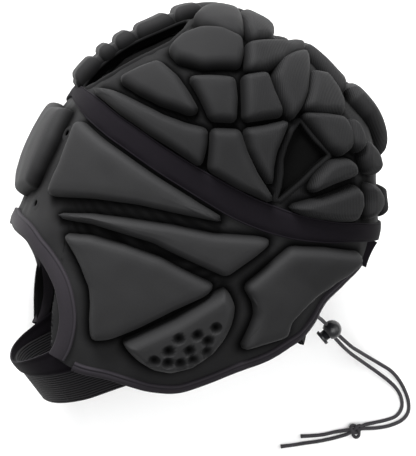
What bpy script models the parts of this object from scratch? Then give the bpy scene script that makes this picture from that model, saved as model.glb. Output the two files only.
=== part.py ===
"""A soft padded sport headguard, lying on its right side with its drawcord laid out on the surface.

Two frames are used. The wearer frame has its origin inside the head: +X points to the back of the head, +Y to the
crown and +Z to the wearer's left. The world frame is the wearer frame turned by the small angles at which the
headguard rests, and raised so that it lies on Z = 0. All shapes are worked out in the wearer frame.

The shell is one closed form. Its mid-line profile is a radius for each angle round Z, and across the head it
narrows as a superellipse. The pads were drawn on a layout sheet, as seen from one eye point, and each outline is
carried onto the shell along the lines of sight from that point. The right half mirrors the left one.
"""

import math

import bmesh
import bpy
import numpy as np
from mathutils import Matrix, Vector, geometry

# Overall sizes, in metres.
HELMET_LENGTH = 0.241
HALF_WIDTH = 0.082
# How much the half-width grows, as a share, over half a length towards the back and towards the crown.
WIDER_BACK = 0.02
WIDER_UP = 0.06
SQUARENESS = 2.8
WALL = 0.0035
FIT_GAP = 0.0003

# Pads.
CROWN_PAD_HEIGHT = 0.0080
SIDE_PAD_HEIGHT = 0.0070
BROW_PAD_HEIGHT = 0.0075
CROWN_BEVEL = 0.0026
MIDLINE_GROOVE = 0.0045
SIDE_BEVEL = 0.0030
DOME_HEIGHT = 0.0120
DOME_BEVEL = 0.0036
DIMPLE_RADIUS = 0.0031
DIMPLE_CLEAR = 0.0006
DIMPLE_DEPTH = 0.0030
AIR_HOLE_RADIUS = 0.0016

# Cloth.
TAPE_THICKNESS = 0.0012
TAPE_LIFT = 0.0006
BINDING_THICKNESS = 0.0012
FACE_BINDING_WIDTH = 0.0095
RIM_BINDING_WIDTH = 0.0048
INNER_FLAP = 0.006
FLAP_CLEAR = 0.0010
PAD_CLEAR = 0.0019
LINING_THICKNESS = 0.001
LINING_CLEAR = 0.0017
SEAM_GAP = 0.0008
GUSSET_THICKNESS = 0.0012
GUSSET_OVERLAP = 0.003
TAB_LENGTH = 0.012
TAB_WIDTH = 0.018
TAB_DEG = -17.0
TAB_LOW = 0.004
LACING_INSET = 0.008
LACING_CLEAR = 0.0008

# Chin strap.
ELASTIC_WIDTH = 0.030
ELASTIC_THICKNESS = 0.0018
BAND_THICKNESS = 0.0012

# Drawcord and its lock.
CORD_DIAMETER = 0.0025
EXIT_SPACE = 0.0020
LOCK_RADIUS = 0.0064
BUTTON_RADIUS = 0.0036
BUTTON_FLANGE_RADIUS = 0.0052
BUTTON_FLANGE = 0.0022
BUTTON_TRAVEL = 0.0025
BUTTON_CLEARANCE = 0.0004
KNOT_RADIUS = 0.0036

# The layout sheet: where its origin lies, its unit, and the eye point that it was drawn from.
SHEET_CENTRE = (205.0, 205.0)
SHEET_SPAN = 377.0
SHEET_UNIT = HELMET_LENGTH / SHEET_SPAN
EYE_FORWARD_DEG = 9.0
EYE_UP_DEG = 6.0
EYE_DISTANCE = 1.5

# How the headguard rests on its right side.
REST_ROLL_DEG = 0.0
REST_PITCH_DEG = -4.07

# Mid-line profile: angle from +X towards +Y, and radius in sheet units. Columns: angle, radius.
PROFILE = (
    (-90, 215), (-75, 205), (-60, 190), (-50, 168), (-40, 156), (-30, 159), (-20, 168), (-8, 171), (5, 168),
    (17, 174), (30, 179), (43, 174), (58, 177), (70, 181), (82, 187), (94, 188), (105, 181), (118, 178),
    (130, 175), (140, 171), (152, 172), (165, 175), (176, 179), (184, 190), (195, 205), (210, 250), (225, 280),
    (240, 272), (255, 240),
)

# Crown tape: centre line and width on the sheet. Columns: x, y, width.
TAPE = (
    (84, 100, 18), (108, 122, 24), (132, 139.5, 25), (161, 160, 25), (192.5, 179.5, 26), (222, 197, 28),
    (251, 212, 28), (281, 223, 24), (304, 229, 20), (334, 233, 18), (359, 233, 18),
)
TAPE_FRONT_DEG = 138.1
TAPE_FRONT_WIDTH = 14
TAPE_REAR_DEG = -8.0
TAPE_REAR_WIDTH = 18

# Edge of the side panel, from the rear under the tape, down the rear edge, along the lower rim to the jaw.
RIM = (
    (366, 247), (359, 264), (340, 284), (322, 303), (313, 320), (303, 334), (289, 345), (268, 358), (243, 367.5),
    (219, 377), (198, 385), (176, 391), (152, 390), (128, 384), (105, 377), (79, 371), (62, 362), (51, 353),
)
# Face edge, from the jaw up to the brow, where it crosses the mid-line.
FACE = (
    (51, 353), (57, 341), (61, 322), (60, 304), (56, 286), (48, 269), (37, 252), (25, 236),
)
BROW_EDGE_DEG = 184.5

# Pads on the crown that lie across the mid-line. Columns: name, front angle, rear angle, front and rear half-width.
MIDLINE_PADS = (
    ("front_1", 135.5, 128.2, 0.0140, 0.0140),
    ("front_2", 125.8, 120.4, 0.0140, 0.0140),
    ("front_3", 118.4, 110.6, 0.0140, 0.0140),
    ("front_4", 108.6, 98.6, 0.0140, 0.0140),
    ("front_5", 96.6, 92.6, 0.017, 0.006),
    ("top_3", 65.6, 59.0, 0.015, 0.016),
    ("rear_1", 56.8, 43.0, 0.014, 0.022),
    ("rear_2", 41.0, 29.5, 0.017, 0.022),
    ("nape_1", 6.0, -3.2, 0.016, 0.017),
)

# Pads on the left half of the crown, mirrored to the right. Each row is an outline on the sheet.
CROWN_PADS = {
    "top_1": ((196, 21), (203, 14), (212, 8), (231, 8), (237, 16), (241, 30), (240, 38), (226, 34), (206, 27)),
    "top_2": ((240, 9), (250, 14), (264, 24), (271, 33), (268, 40), (252, 40), (247, 33), (243, 20)),
    "upper_1": ((178, 48), (188, 38), (203, 31), (222, 34), (239, 41), (240, 52), (236, 62), (203, 61), (180, 56)),
    "upper_2": ((248, 46), (262, 44), (282, 46), (290, 51), (276, 60), (262, 66), (248, 67)),
    "front_side": ((120, 81), (144, 66), (160, 62), (178, 77), (190, 94), (198, 111), (190, 112), (160, 101),
                   (140, 91)),
    "tape_side": ((96, 90), (112, 92), (140, 105), (162, 116), (184, 124), (205, 129), (204, 145), (199, 163),
                  (180, 150), (150, 131), (120, 110)),
    "middle_1": ((199, 79), (232, 80), (233, 97), (232, 114), (212, 113), (207, 97)),
    "middle_2": ((248, 77), (264, 75), (271, 92), (277, 106), (279, 111), (247, 116)),
    "middle_3": ((289, 60), (302, 57), (305, 76), (304, 90), (299, 103), (290, 114), (283, 97), (278, 77)),
    "lower_1": ((215, 130), (236, 132), (243, 151), (252, 171), (261, 187), (266, 194), (238, 183), (212, 168),
                (214, 147)),
    "lower_2": ((248, 131), (266, 128), (283, 123), (279, 136), (273, 150), (271, 166), (269, 179), (260, 164),
                (253, 148)),
    "vent_above": ((309, 74), (317, 75), (329, 91), (336, 105), (335, 113), (318, 111), (305, 106), (306, 88)),
    "vent_behind": ((311, 116), (325, 114), (339, 120), (344, 132), (344, 146), (338, 150), (326, 135)),
    "rear_flank_1": ((347, 124), (353, 132), (359, 148), (357, 152), (350, 147)),
    "rear_flank_2": ((357, 128), (366, 118), (370, 128), (370, 138), (364, 138)),
    "rear_flank_3": ((362, 145), (371, 149), (376, 161), (375, 169), (368, 170), (363, 160)),
    "rear_low_1": ((317, 176), (331, 162), (346, 159), (353, 164), (355, 173), (336, 180), (316, 189), (311, 189)),
    "rear_low_2": ((292, 207), (318, 200), (338, 193), (354, 186), (359, 192), (360, 206), (355, 219), (340, 219),
                   (312, 215)),
    "rear_low_3": ((366, 184), (373, 186), (377, 196), (377, 206), (372, 216), (366, 217), (367, 200)),
}

# Opening through the left side of the crown, drawn on the sheet.
SIDE_VENT = (
    (299, 124), (306, 133), (313, 142), (321, 153), (311, 167), (299, 180), (286, 190), (277, 197), (282, 188),
    (285, 174), (285, 160), (288, 147), (293, 134),
)
# Slit beside the front pads, left half. Columns: angle, distance of its inner and outer edge from the mid-line.
FRONT_SLIT = (
    (134.0, 0.0160, 0.0185), (130.5, 0.0160, 0.0240), (126.0, 0.0160, 0.0270), (120.0, 0.0160, 0.0290),
    (112.0, 0.0160, 0.0300), (105.0, 0.0165, 0.0300), (99.5, 0.0175, 0.0260), (97.5, 0.0195, 0.0215),
)
# Rear vent on the mid-line: front and rear angle, half-width.
REAR_VENT = (26.5, 9.0, 0.009)

# Pads on the left half of the side panel, mirrored to the right.
SIDE_PADS = {
    "temple": ((78, 124), (92, 124), (122, 145), (161, 174), (197, 204), (222, 220), (182, 212), (137, 202),
               (92, 196), (50, 194), (62, 165), (72, 140)),
    "upper_cheek": ((57, 216), (90, 216), (122, 220), (170, 227), (213, 236), (258, 239), (270, 242), (258, 253),
                    (240, 266), (226, 276), (182, 256), (152, 241), (120, 231), (90, 222)),
    "cheek": ((64, 236), (90, 238), (122, 247), (158, 260), (184, 274), (212, 287), (205, 295), (170, 311),
              (134, 329), (106, 340), (90, 341), (89, 322), (90, 306), (89, 289), (81, 268), (71, 247)),
    "rear": ((292, 249), (325, 250), (360, 254), (357, 262), (333, 280), (303, 306), (289, 322), (286, 336),
             (262, 344), (242, 350), (251, 332), (257, 316), (255, 303), (246, 288), (270, 268)),
}
DOME = ((113, 353), (118, 362), (129, 373), (146, 383), (164, 386), (189, 380), (213, 364), (226, 348), (233, 335),
        (237, 322), (237, 313), (232, 302), (225, 294), (213, 301), (170, 327), (140, 341))
DIMPLES = ((213, 333), (193, 341), (173, 345), (204, 347), (162, 358), (184, 357), (203, 358), (147, 368),
           (161, 370), (188, 367), (174, 370))
AIR_HOLES = ((67, 133), (36, 203))
# Pad over the brow: where it starts and ends on the mid-line, and its left side on the sheet.
BROW_ANGLES = (146.0, 176.5)
BROW_SIDE = ((66, 106), (58, 121), (50, 139), (42, 156), (35, 172), (28, 187))

# Chin strap: centre line on the sheet, and distance from the mid-line as a share of that at the strap's end.
# Columns: x, y, share.
STRAP_ROUTE = ((104, 350, 1.0), (84, 357, 0.97), (64, 365, 0.88), (46, 371, 0.70), (34, 375, 0.42), (29, 377, 0.0))
STRAP_TILT_DEG = -53.3

# Drawcord routes on the sheet. Columns: x, y, height of the cord's middle over the surface, in metres.
EXIT_ROUTE = ((314, 316, 0.078), (320, 318.5, 0.060), (326.1, 324.0, 0.0474))
STRAND_A = ((337.5, 334.2, 0.0418), (345, 341, 0.0365), (352, 347, 0.0300), (360, 352, 0.0215),
            (369, 357.5, 0.0120), (380, 364, 0.0050), (391, 371, 0.0022), (399, 380, 0.00135),
            (405, 391, 0.00135), (408.5, 402, 0.00135), (408, 412, 0.00135), (402, 420, 0.00135),
            (390, 425.5, 0.00135), (376, 428, 0.00135), (363.0, 428.4, 0.0034))
STRAND_B = ((334.6, 337.5, 0.0418), (342, 345.5, 0.0360), (349, 352, 0.0290), (357, 358, 0.0205),
            (367, 365, 0.0110), (379, 373.5, 0.0045), (390, 382, 0.0018), (397.5, 390, 0.00135),
            (401.5, 399, 0.00135), (401.5, 408, 0.00135), (396, 416, 0.00135), (386, 420, 0.00135),
            (375, 422.5, 0.00135), (365.0, 424.6, 0.0020))
TAIL_A = ((348.4, 429.9, 0.0020), (336, 431.8, 0.00135), (324, 434.5, 0.00135), (312, 435.8, 0.00135),
          (301, 436.3, 0.00135))
TAIL_B = ((346.8, 434.4, 0.0018), (334, 438, 0.00135), (320, 441, 0.00135), (306, 443, 0.00135),
          (293, 445, 0.00135), (281, 446.5, 0.00135))
KNOT = (356.0, 430.2)
LOCK = (332.0, 329.5, 0.0445)
LOCK_AXIS_DEG = 220.0

# How fine the solids are.
GRID_COUNT = 500
INNER_GRID_COUNT = 220
LONG_EDGE = 0.016
CORNER_CUT = 0.0020
SHARP_CORNER = 0.55
CUT_SHARE = 0.3
LEAST_LEAN = 0.42
BEVEL_SHARE = 0.42
TIP_SHARE = 0.85
MIDDLE_SWELL = 1.06
REAR_STEP = 0.4
TAPE_STATIONS = 56
BINDING_STATIONS = 46
TURN_SIDES = 16
# Side that the panel is on, of the left rim and face edge run from nape to jaw to brow: 1 is their left.
PANEL_SIDE = -1.0
GUSSET_START, GUSSET_END = 2, 13
LACING_START, LACING_END, LACING_STEP = 3, 12, 4
LACING_POINTS = 30
RIM_POINTS = 44
FACE_POINTS = 24
STRAP_STATIONS = 33


def periodic(table, angle):
    """Value at an angle, in degrees, of a periodic table of knots, along a smooth curve through the knots."""
    knots = np.array(table, float)
    turns = np.concatenate([knots + (-360.0, 0.0), knots, knots + (360.0, 0.0)])
    place = (np.asarray(angle, float) + 90.0) % 360.0 - 90.0
    i = np.clip(np.searchsorted(turns[:, 0], place, side="right") - 1, 1, len(turns) - 3)
    x0, x1, x2, x3 = (turns[i + k, 0] for k in (-1, 0, 1, 2))
    y0, y1, y2, y3 = (turns[i + k, 1] for k in (-1, 0, 1, 2))
    span = x2 - x1
    t = (place - x1) / span
    m1 = (y2 - y0) / (x2 - x0) * span
    m2 = (y3 - y1) / (x3 - x1) * span
    return (
        (2 * t**3 - 3 * t**2 + 1) * y1 + (t**3 - 2 * t**2 + t) * m1
        + (3 * t**2 - 2 * t**3) * y2 + (t**3 - t**2) * m2
    )


def width_at(x, y):
    """Half-width that the shell tends to at a place seen from the side."""
    return HALF_WIDTH * (1 + (WIDER_BACK * x + WIDER_UP * y) / (HELMET_LENGTH / 2))


def shell_level(points):
    """Size of the shell's copy, scaled from the origin, that passes through each point: 1 is the shell itself."""
    x, y, z = np.moveaxis(points, -1, 0)
    angle = np.degrees(np.arctan2(y, x))
    radius = periodic(PROFILE, angle) * SHEET_UNIT
    reach = np.hypot(x, y) / radius
    return (reach**SQUARENESS + np.abs(z / width_at(x, y)) ** SQUARENESS) ** (1 / SQUARENESS)


def on_shell(points):
    """The points moved along their rays from the origin onto the shell, in a few steps."""
    for _ in range(5):
        points = points / shell_level(points)[..., None]
    return points


def shell_normal(points):
    """Outward unit normals of the shell at points on it, by central differences."""
    step = 0.0004
    slopes = []
    for axis in np.eye(3):
        slopes.append(shell_level(points + step * axis) - shell_level(points - step * axis))
    slopes = np.stack(slopes, -1)
    return slopes / np.linalg.norm(slopes, axis=-1, keepdims=True)


def lifted(points, height):
    """Points of the shell moved out along its normal by a height, one for all or one each."""
    return points + shell_normal(points) * np.broadcast_to(height, points.shape[:-1])[..., None]


def sheet_axes():
    """The eye point, and the sheet's own right and up directions, in the wearer frame."""
    forward = math.radians(EYE_FORWARD_DEG)
    up = math.radians(EYE_UP_DEG)
    back = np.array((-math.sin(forward) * math.cos(up), math.sin(up), math.cos(forward) * math.cos(up)))
    right = np.array((math.cos(forward), 0.0, math.sin(forward)))
    return back * EYE_DISTANCE, right, np.cross(back, right)


def sheet_point(x, y):
    """A place on the sheet as a point of the plane through the origin that faces the eye."""
    _, right, up = sheet_axes()
    across = (np.asarray(x, float) - SHEET_CENTRE[0]) * SHEET_UNIT
    down = (np.asarray(y, float) - SHEET_CENTRE[1]) * SHEET_UNIT
    return across[..., None] * right - down[..., None] * up


def from_sheet(places, height=0.0):
    """Points of the shell's left half whose copies raised by a height show at places of the sheet."""
    places = np.asarray(places, float)
    reached = 1.0 + height / (HELMET_LENGTH / 2)
    target = sheet_point(places[:, 0], places[:, 1])
    eye = sheet_axes()[0]
    along = np.linspace(0.90, 1.06, 161)
    samples = eye + (target - eye)[:, None, :] * along[None, :, None]
    level = shell_level(samples)
    inside = level < reached
    first = np.where(inside.any(1), inside.argmax(1), level.argmin(1))
    near = along[np.maximum(first - 1, 0)]
    far = along[first]
    for _ in range(30):
        middle = (near + far) / 2
        hit = shell_level(eye + (target - eye) * middle[:, None]) < reached
        far = np.where(hit, middle, far)
        near = np.where(hit, near, middle)
    return on_shell(eye + (target - eye) * far[:, None])


def shell_side(points):
    """Distance of the shell's left side from the mid-line, under points seen from the side."""
    angle = np.degrees(np.arctan2(points[:, 1], points[:, 0]))
    radius = periodic(PROFILE, angle) * SHEET_UNIT
    reach = np.hypot(points[:, 0], points[:, 1]) / radius
    return width_at(points[:, 0], points[:, 1]) * (1 - reach**SQUARENESS) ** (1 / SQUARENESS)


def on_midline(angle, offset=0.0):
    """A point of the shell at an angle round Z, at a distance to the left of the mid-line."""
    angle, offset = np.broadcast_arrays(np.asarray(angle, float), np.asarray(offset, float))
    radius = periodic(PROFILE, angle) * SHEET_UNIT
    turn = np.radians(angle)
    width = width_at(radius * np.cos(turn), radius * np.sin(turn))
    reach = radius * (1 - np.abs(offset / width) ** SQUARENESS) ** (1 / SQUARENESS)
    return on_shell(np.stack([reach * np.cos(turn), reach * np.sin(turn), offset], -1))


def mirrored(points):
    """The same points on the other half of the head."""
    return points * (1.0, 1.0, -1.0)


def smooth_curve(points, count, closed=False):
    """Points at even steps along a smooth curve through the given points."""
    points = np.asarray(points, float)
    ring = np.concatenate([points[-1:], points, points[:2]]) if closed else np.concatenate(
        [2 * points[:1] - points[1:2], points, 2 * points[-1:] - points[-2:-1]]
    )
    pieces = []
    steps = np.linspace(0, 1, 24, endpoint=False)[:, None]
    for a, b, c, d in zip(ring, ring[1:], ring[2:], ring[3:]):
        pieces.append(
            b + steps * (c - a) / 2 + steps**2 * (a - 2.5 * b + 2 * c - d / 2)
            + steps**3 * (-a / 2 + 1.5 * b - 1.5 * c + d / 2)
        )
    dense = np.concatenate(pieces + [points[:1] if closed else points[-1:]])
    run = np.concatenate([[0.0], np.cumsum(np.linalg.norm(np.diff(dense, axis=0), axis=1))])
    place = np.linspace(0, run[-1], count, endpoint=not closed)
    return np.stack([np.interp(place, run, column) for column in dense.T], -1)


def to_chart(points, pole):
    """Flat map of the shell without stretch of angles, seen from below (pole -1) or above (pole 1) the head."""
    unit = points / np.linalg.norm(points, axis=-1, keepdims=True)
    return np.stack([unit[..., 0], unit[..., 2]], -1) / (1 + pole * unit[..., 1])[..., None]


def from_chart(flat, pole):
    """Points of the shell at places of the flat map."""
    size = (flat**2).sum(-1)
    unit = np.stack([2 * flat[..., 0], pole * (1 - size), 2 * flat[..., 1]], -1) / (1 + size)[..., None]
    return on_shell(unit)


def contains(loop, places):
    """Which places of the flat map lie inside a closed loop."""
    x, y = places[:, 0][:, None], places[:, 1][:, None]
    x0, y0 = loop[:, 0][None], loop[:, 1][None]
    x1, y1 = np.roll(loop[:, 0], -1)[None], np.roll(loop[:, 1], -1)[None]
    crosses = (y0 > y) != (y1 > y)
    rise = np.where(y1 == y0, 1.0, y1 - y0)
    return ((crosses & (x < (x1 - x0) * (y - y0) / rise + x0)).sum(1) % 2).astype(bool)


def nearest_on(line, points, closed):
    """For each point the nearest point of a line in space."""
    start = line if closed else line[:-1]
    end = np.roll(line, -1, axis=0) if closed else line[1:]
    edge = end - start
    length = (edge**2).sum(-1)
    share = ((points[:, None, :] - start[None]) * edge[None]).sum(-1) / np.maximum(length, 1e-12)
    spot = start[None] + np.clip(share, 0, 1)[..., None] * edge[None]
    gap = np.linalg.norm(points[:, None, :] - spot, axis=-1)
    best = gap.argmin(1)
    row = np.arange(len(points))
    return spot[row, best], gap[row, best]


def kept_clear(points, lines):
    """An outline with each point moved off the lines that it comes too near. Rows: line, clear distance."""
    for line, clear in lines:
        spot, gap = nearest_on(line, points, False)
        push = np.maximum(clear - gap, 0.0) / np.maximum(gap, 1e-6)
        points = on_shell(points + (points - spot) * push[:, None])
    return points


def divided(loop):
    """A closed outline on the shell with its sharp corners cut and its long edges divided."""
    result = []
    count = len(loop)
    for i in range(count):
        before, here, after = loop[i - 1], loop[i], loop[(i + 1) % count]
        into, out = here - before, after - here
        turn = np.dot(into, out) / (np.linalg.norm(into) * np.linalg.norm(out))
        if turn < SHARP_CORNER:
            cut = min(CORNER_CUT, np.linalg.norm(into) * CUT_SHARE, np.linalg.norm(out) * CUT_SHARE)
            result.append(here - into / np.linalg.norm(into) * cut)
            result.append(here + out / np.linalg.norm(out) * cut)
        else:
            result.append(here)
        pieces = int(np.linalg.norm(out) // LONG_EDGE)
        for k in range(pieces):
            result.append(here + out * (k + 1) / (pieces + 1))
    return on_shell(np.array(result))


def inset(loop, distance, pole):
    """A closed outline moved inwards along the shell by a distance."""
    flat = to_chart(loop, pole)
    scale = np.linalg.norm(loop, axis=1) * 2 / (1 + (flat**2).sum(-1))
    area = (flat[:, 0] * np.roll(flat[:, 1], -1) - np.roll(flat[:, 0], -1) * flat[:, 1]).sum()
    edge = np.roll(flat, -1, axis=0) - flat
    edge /= np.linalg.norm(edge, axis=1, keepdims=True)
    side = np.stack([-edge[:, 1], edge[:, 0]], -1) * math.copysign(1.0, area)
    both = side + np.roll(side, 1, axis=0)
    both /= np.linalg.norm(both, axis=1, keepdims=True)
    lean = np.clip((both * side).sum(-1), LEAST_LEAN, 1.0)
    ring = from_chart(flat + both * (distance / scale / lean)[:, None], pole)
    return ring[nearest_on(loop, ring, True)[1] > distance * TIP_SHARE]


def edges_cross(flat, i, j):
    """Whether two edges of a closed loop in the flat map cross."""
    a, b = flat[i], flat[(i + 1) % len(flat)]
    c, d = flat[j], flat[(j + 1) % len(flat)]

    def side(start, end, spot):
        return (end[0] - start[0]) * (spot[1] - start[1]) - (end[1] - start[1]) * (spot[0] - start[0])

    return side(a, b, c) * side(a, b, d) < 0 and side(c, d, a) * side(c, d, b) < 0


def untangled(loop, pole):
    """A closed outline without the small knots that moving its points can make."""
    flat = to_chart(loop, pole)
    count = len(loop)
    for i in range(count):
        for j in range(i + 2, count - (i == 0)):
            if edges_cross(flat, i, j):
                run = np.arange(i + 1, j + 1) % count
                if len(run) > count / 2:
                    run = np.arange(j + 1, count + i + 1) % count
                return untangled(np.delete(loop, run, axis=0), pole)
    return loop


def room_in(outline):
    """Distance from an outline's middle to its nearest edge."""
    return nearest_on(outline, on_shell(outline.mean(0)[None]), True)[1][0]


def even_points(count):
    """Points spread evenly over the shell's left half, and their mirror images."""
    index = np.arange(count) + 0.5
    tall = 1 - index / count
    turn = index * math.pi * (3 - math.sqrt(5))
    flat = np.sqrt(1 - tall**2)
    half = on_shell(np.stack([flat * np.cos(turn), flat * np.sin(turn), tall], -1))
    return np.concatenate([half, mirrored(half)])


class Sheet:
    """A triangulated piece of the shell: its points, their heights over the shell, and its triangles."""

    def __init__(self, pole):
        self.pole = pole
        self.points = []
        self.heights = []
        self.edges = []

    def add_loop(self, loop, height):
        first = len(self.points)
        count = len(loop)
        self.points.extend(loop)
        self.heights.extend(np.broadcast_to(height, count))
        self.edges.extend((first + i, first + (i + 1) % count) for i in range(count))
        return np.arange(first, first + count)

    def add_points(self, points, height):
        self.points.extend(points)
        self.heights.extend(np.broadcast_to(height, len(points)))

    def triangles(self, outside, holes):
        flat = to_chart(np.array(self.points), self.pole)
        result = geometry.delaunay_2d_cdt([Vector(p) for p in flat], self.edges, [], 0, 1e-7)
        if len(result[0]) != len(flat):
            raise ValueError("two outlines of a panel cross or touch")
        faces = np.array(result[2])
        faces = np.array([[result[3][v][0] for v in face] for face in faces])
        middle = flat[faces].mean(1)
        keep = contains(outside, middle)
        for hole in holes:
            keep &= ~contains(hole, middle)
        return faces[keep]


def oriented(faces, points):
    """Triangles turned so that each faces away from the origin."""
    a, b, c = (points[faces[:, k]] for k in range(3))
    away = (np.cross(b - a, c - a) * (a + b + c)).sum(-1) > 0
    return np.where(away[:, None], faces, faces[:, ::-1])


def panel(name, pole, edge, vents, pads, material):
    """A moulded panel: the shell inside an edge, less its vents, with pads raised on its outer side.

    Each pad is an outline, its height and its rings, where a ring is the inset and the share of the height.
    """
    outer = Sheet(pole)
    walls = [outer.add_loop(edge, 0.0)]
    walls += [outer.add_loop(vent, 0.0) for vent in vents]
    rings = [edge, *vents]
    crests = []
    for outline, height, steps, pits in pads:
        narrow = min(1.0, BEVEL_SHARE * room_in(outline) / steps[-1][0])
        for step, share in steps:
            ring = untangled(divided(inset(outline, step * narrow, pole) if step else outline), pole)
            outer.add_loop(ring, height * share)
            rings.append(ring)
        crests.append((to_chart(ring, pole), height))
        if len(pits):
            around = np.concatenate([ring, ring[:1]])
            for pit in kept_clear(pits, [(around, DIMPLE_RADIUS + DIMPLE_CLEAR)]):
                rim = hole_ring(pit, DIMPLE_RADIUS)
                outer.add_loop(rim, height)
                outer.add_points(pit[None], height - DIMPLE_DEPTH)
                rings.append(rim)
    spots = even_points(GRID_COUNT)
    flat = to_chart(spots, pole)
    clear = contains(to_chart(edge, pole), flat)
    for vent in vents:
        clear &= ~contains(to_chart(vent, pole), flat)
    for ring in rings:
        clear &= nearest_on(ring, spots, True)[1] > 0.0050
    spots, flat = spots[clear], flat[clear]
    for outline, height, steps, pits in pads:
        hidden = contains(to_chart(outline, pole), flat)
        if len(pits):
            spots, flat = spots[~hidden], flat[~hidden]
    heights = np.zeros(len(spots))
    for crest, height in crests:
        heights[contains(crest, flat)] = height
    outer.add_points(spots, heights)
    points = np.array(outer.points)
    edge_flat = to_chart(edge, pole)
    holes = [to_chart(vent, pole) for vent in vents]
    top = outer.triangles(edge_flat, holes)
    skin = lifted(points, np.array(outer.heights))

    inner = Sheet(pole)
    inner_walls = [inner.add_loop(edge, -WALL)]
    inner_walls += [inner.add_loop(vent, -WALL) for vent in vents]
    spots = even_points(INNER_GRID_COUNT)
    flat = to_chart(spots, pole)
    clear = contains(edge_flat, flat)
    for hole in holes:
        clear &= ~contains(hole, flat)
    for ring in [edge, *vents]:
        clear &= nearest_on(ring, spots, True)[1] > 0.008
    inner.add_points(spots[clear], -WALL)
    base = np.array(inner.points)
    under = inner.triangles(edge_flat, holes)
    inside = lifted(base, -WALL)

    faces = [tuple(f) for f in oriented(top, points)]
    shift = len(skin)
    faces += [tuple(f[::-1] + shift) for f in oriented(under, base)]
    whole = np.concatenate([skin, inside])
    for loop, lower in zip(walls, inner_walls):
        faces += wall_faces(loop, lower + shift, faces_edges(faces))
    return new_object(name, whole, faces, material)


def faces_edges(faces):
    """Directed edges of a list of faces."""
    return {(face[k - 1], face[k]) for face in faces for k in range(len(face))}


def wall_faces(upper, lower, used):
    """Two triangles for each edge of a loop, which close the wall between the outer and the inner skin."""
    faces = []
    count = len(upper)
    for i in range(count):
        a, b = int(upper[i]), int(upper[(i + 1) % count])
        c, d = int(lower[(i + 1) % count]), int(lower[i])
        if (a, b) in used:
            faces += [(b, a, d), (b, d, c)]
        else:
            faces += [(a, b, c), (a, c, d)]
    return faces


def hole_ring(place, radius, sides=6):
    """A small round hole's outline on the shell."""
    normal = shell_normal(place[None])[0]
    side = np.cross(normal, (0.0, 1.0, 0.0))
    side /= np.linalg.norm(side)
    other = np.cross(normal, side)
    turn = np.arange(sides) * math.tau / sides
    return on_shell(place + radius * (np.cos(turn)[:, None] * side + np.sin(turn)[:, None] * other))


def rest_matrix():
    """Turn from the wearer frame to the world frame, without the lift off the surface."""
    return np.array(
        Matrix.Rotation(math.radians(REST_ROLL_DEG), 3, "X") @ Matrix.Rotation(math.radians(REST_PITCH_DEG), 3, "Y")
    )


MATERIALS = {}


def material(name, colour, roughness, metallic=0.0):
    """A plain surface finish, made once for each name."""
    if name not in MATERIALS:
        finish = bpy.data.materials.new(name)
        finish.use_nodes = True
        shader = finish.node_tree.nodes["Principled BSDF"]
        shader.inputs["Base Color"].default_value = (*colour, 1.0)
        shader.inputs["Roughness"].default_value = roughness
        shader.inputs["Metallic"].default_value = metallic
        MATERIALS[name] = finish
    return MATERIALS[name]


def panel_cloth():
    return material("panel_cloth", (0.040, 0.040, 0.041), 0.85)


def tape_cloth():
    return material("tape_cloth", (0.021, 0.018, 0.025), 0.9)


def lining_cloth():
    return material("lining_cloth", (0.004, 0.004, 0.004), 0.95)


def elastic_web():
    return material("elastic_web", (0.012, 0.012, 0.013), 0.8)


def cord_braid():
    return material("cord_braid", (0.045, 0.043, 0.048), 0.8)


def lock_plastic():
    return material("lock_plastic", (0.010, 0.010, 0.012), 0.35)


BUILT = []


def new_object(name, points, faces, finish):
    """A mesh object from points of the wearer frame."""
    mesh = bpy.data.meshes.new(name)
    mesh.from_pydata([Vector(p) for p in np.asarray(points) @ rest_matrix().T], [], [list(map(int, f)) for f in faces])
    mesh.validate()
    mesh.materials.append(finish)
    mesh.shade_smooth()
    mesh.set_sharp_from_angle(angle=math.radians(50))
    piece = bpy.data.objects.new(name, mesh)
    bpy.context.scene.collection.objects.link(piece)
    BUILT.append(piece)
    return piece


def loft(name, sections, finish, closed=False):
    """A solid swept through rings of points with the same count, with flat ends unless it closes on itself."""
    sections = np.asarray(sections)
    rows, columns = sections.shape[:2]
    faces = []
    for i in range(rows if closed else rows - 1):
        for j in range(columns):
            a, b = i * columns + j, i * columns + (j + 1) % columns
            c, d = (i + 1) % rows * columns + (j + 1) % columns, (i + 1) % rows * columns + j
            faces.append((a, b, c, d))
    if not closed:
        faces.append(tuple(range(columns))[::-1])
        faces.append(tuple((rows - 1) * columns + j for j in range(columns)))
    piece = new_object(name, sections.reshape(-1, 3), faces, finish)
    shape = bmesh.new()
    shape.from_mesh(piece.data)
    bmesh.ops.recalc_face_normals(shape, faces=shape.faces)
    shape.to_mesh(piece.data)
    shape.free()
    return piece


def turned(name, profile, centre, axis, finish):
    """A turned solid. The profile holds distances along the axis and from it, and starts and ends on the axis."""
    axis = np.asarray(axis) / np.linalg.norm(axis)
    side = np.cross(axis, (0.0, 0.0, 1.0))
    side /= np.linalg.norm(side)
    other = np.cross(axis, side)
    turn = np.arange(TURN_SIDES) * math.tau / TURN_SIDES
    points = []
    rings = []
    for along, radius in profile:
        spot = np.asarray(centre) + axis * along
        if radius == 0:
            rings.append([len(points)] * TURN_SIDES)
            points.append(spot)
            continue
        rings.append(list(range(len(points), len(points) + TURN_SIDES)))
        points.extend(spot + radius * (np.cos(turn)[:, None] * side + np.sin(turn)[:, None] * other))
    faces = []
    for lower, upper in zip(rings, rings[1:]):
        for j in range(TURN_SIDES):
            k = (j + 1) % TURN_SIDES
            face = (lower[j], lower[k], upper[k], upper[j])
            faces.append([v for i, v in enumerate(face) if v not in face[:i]])
    piece = new_object(name, points, faces, finish)
    shape = bmesh.new()
    shape.from_mesh(piece.data)
    bmesh.ops.recalc_face_normals(shape, faces=shape.faces)
    shape.to_mesh(piece.data)
    shape.free()
    return piece


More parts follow.
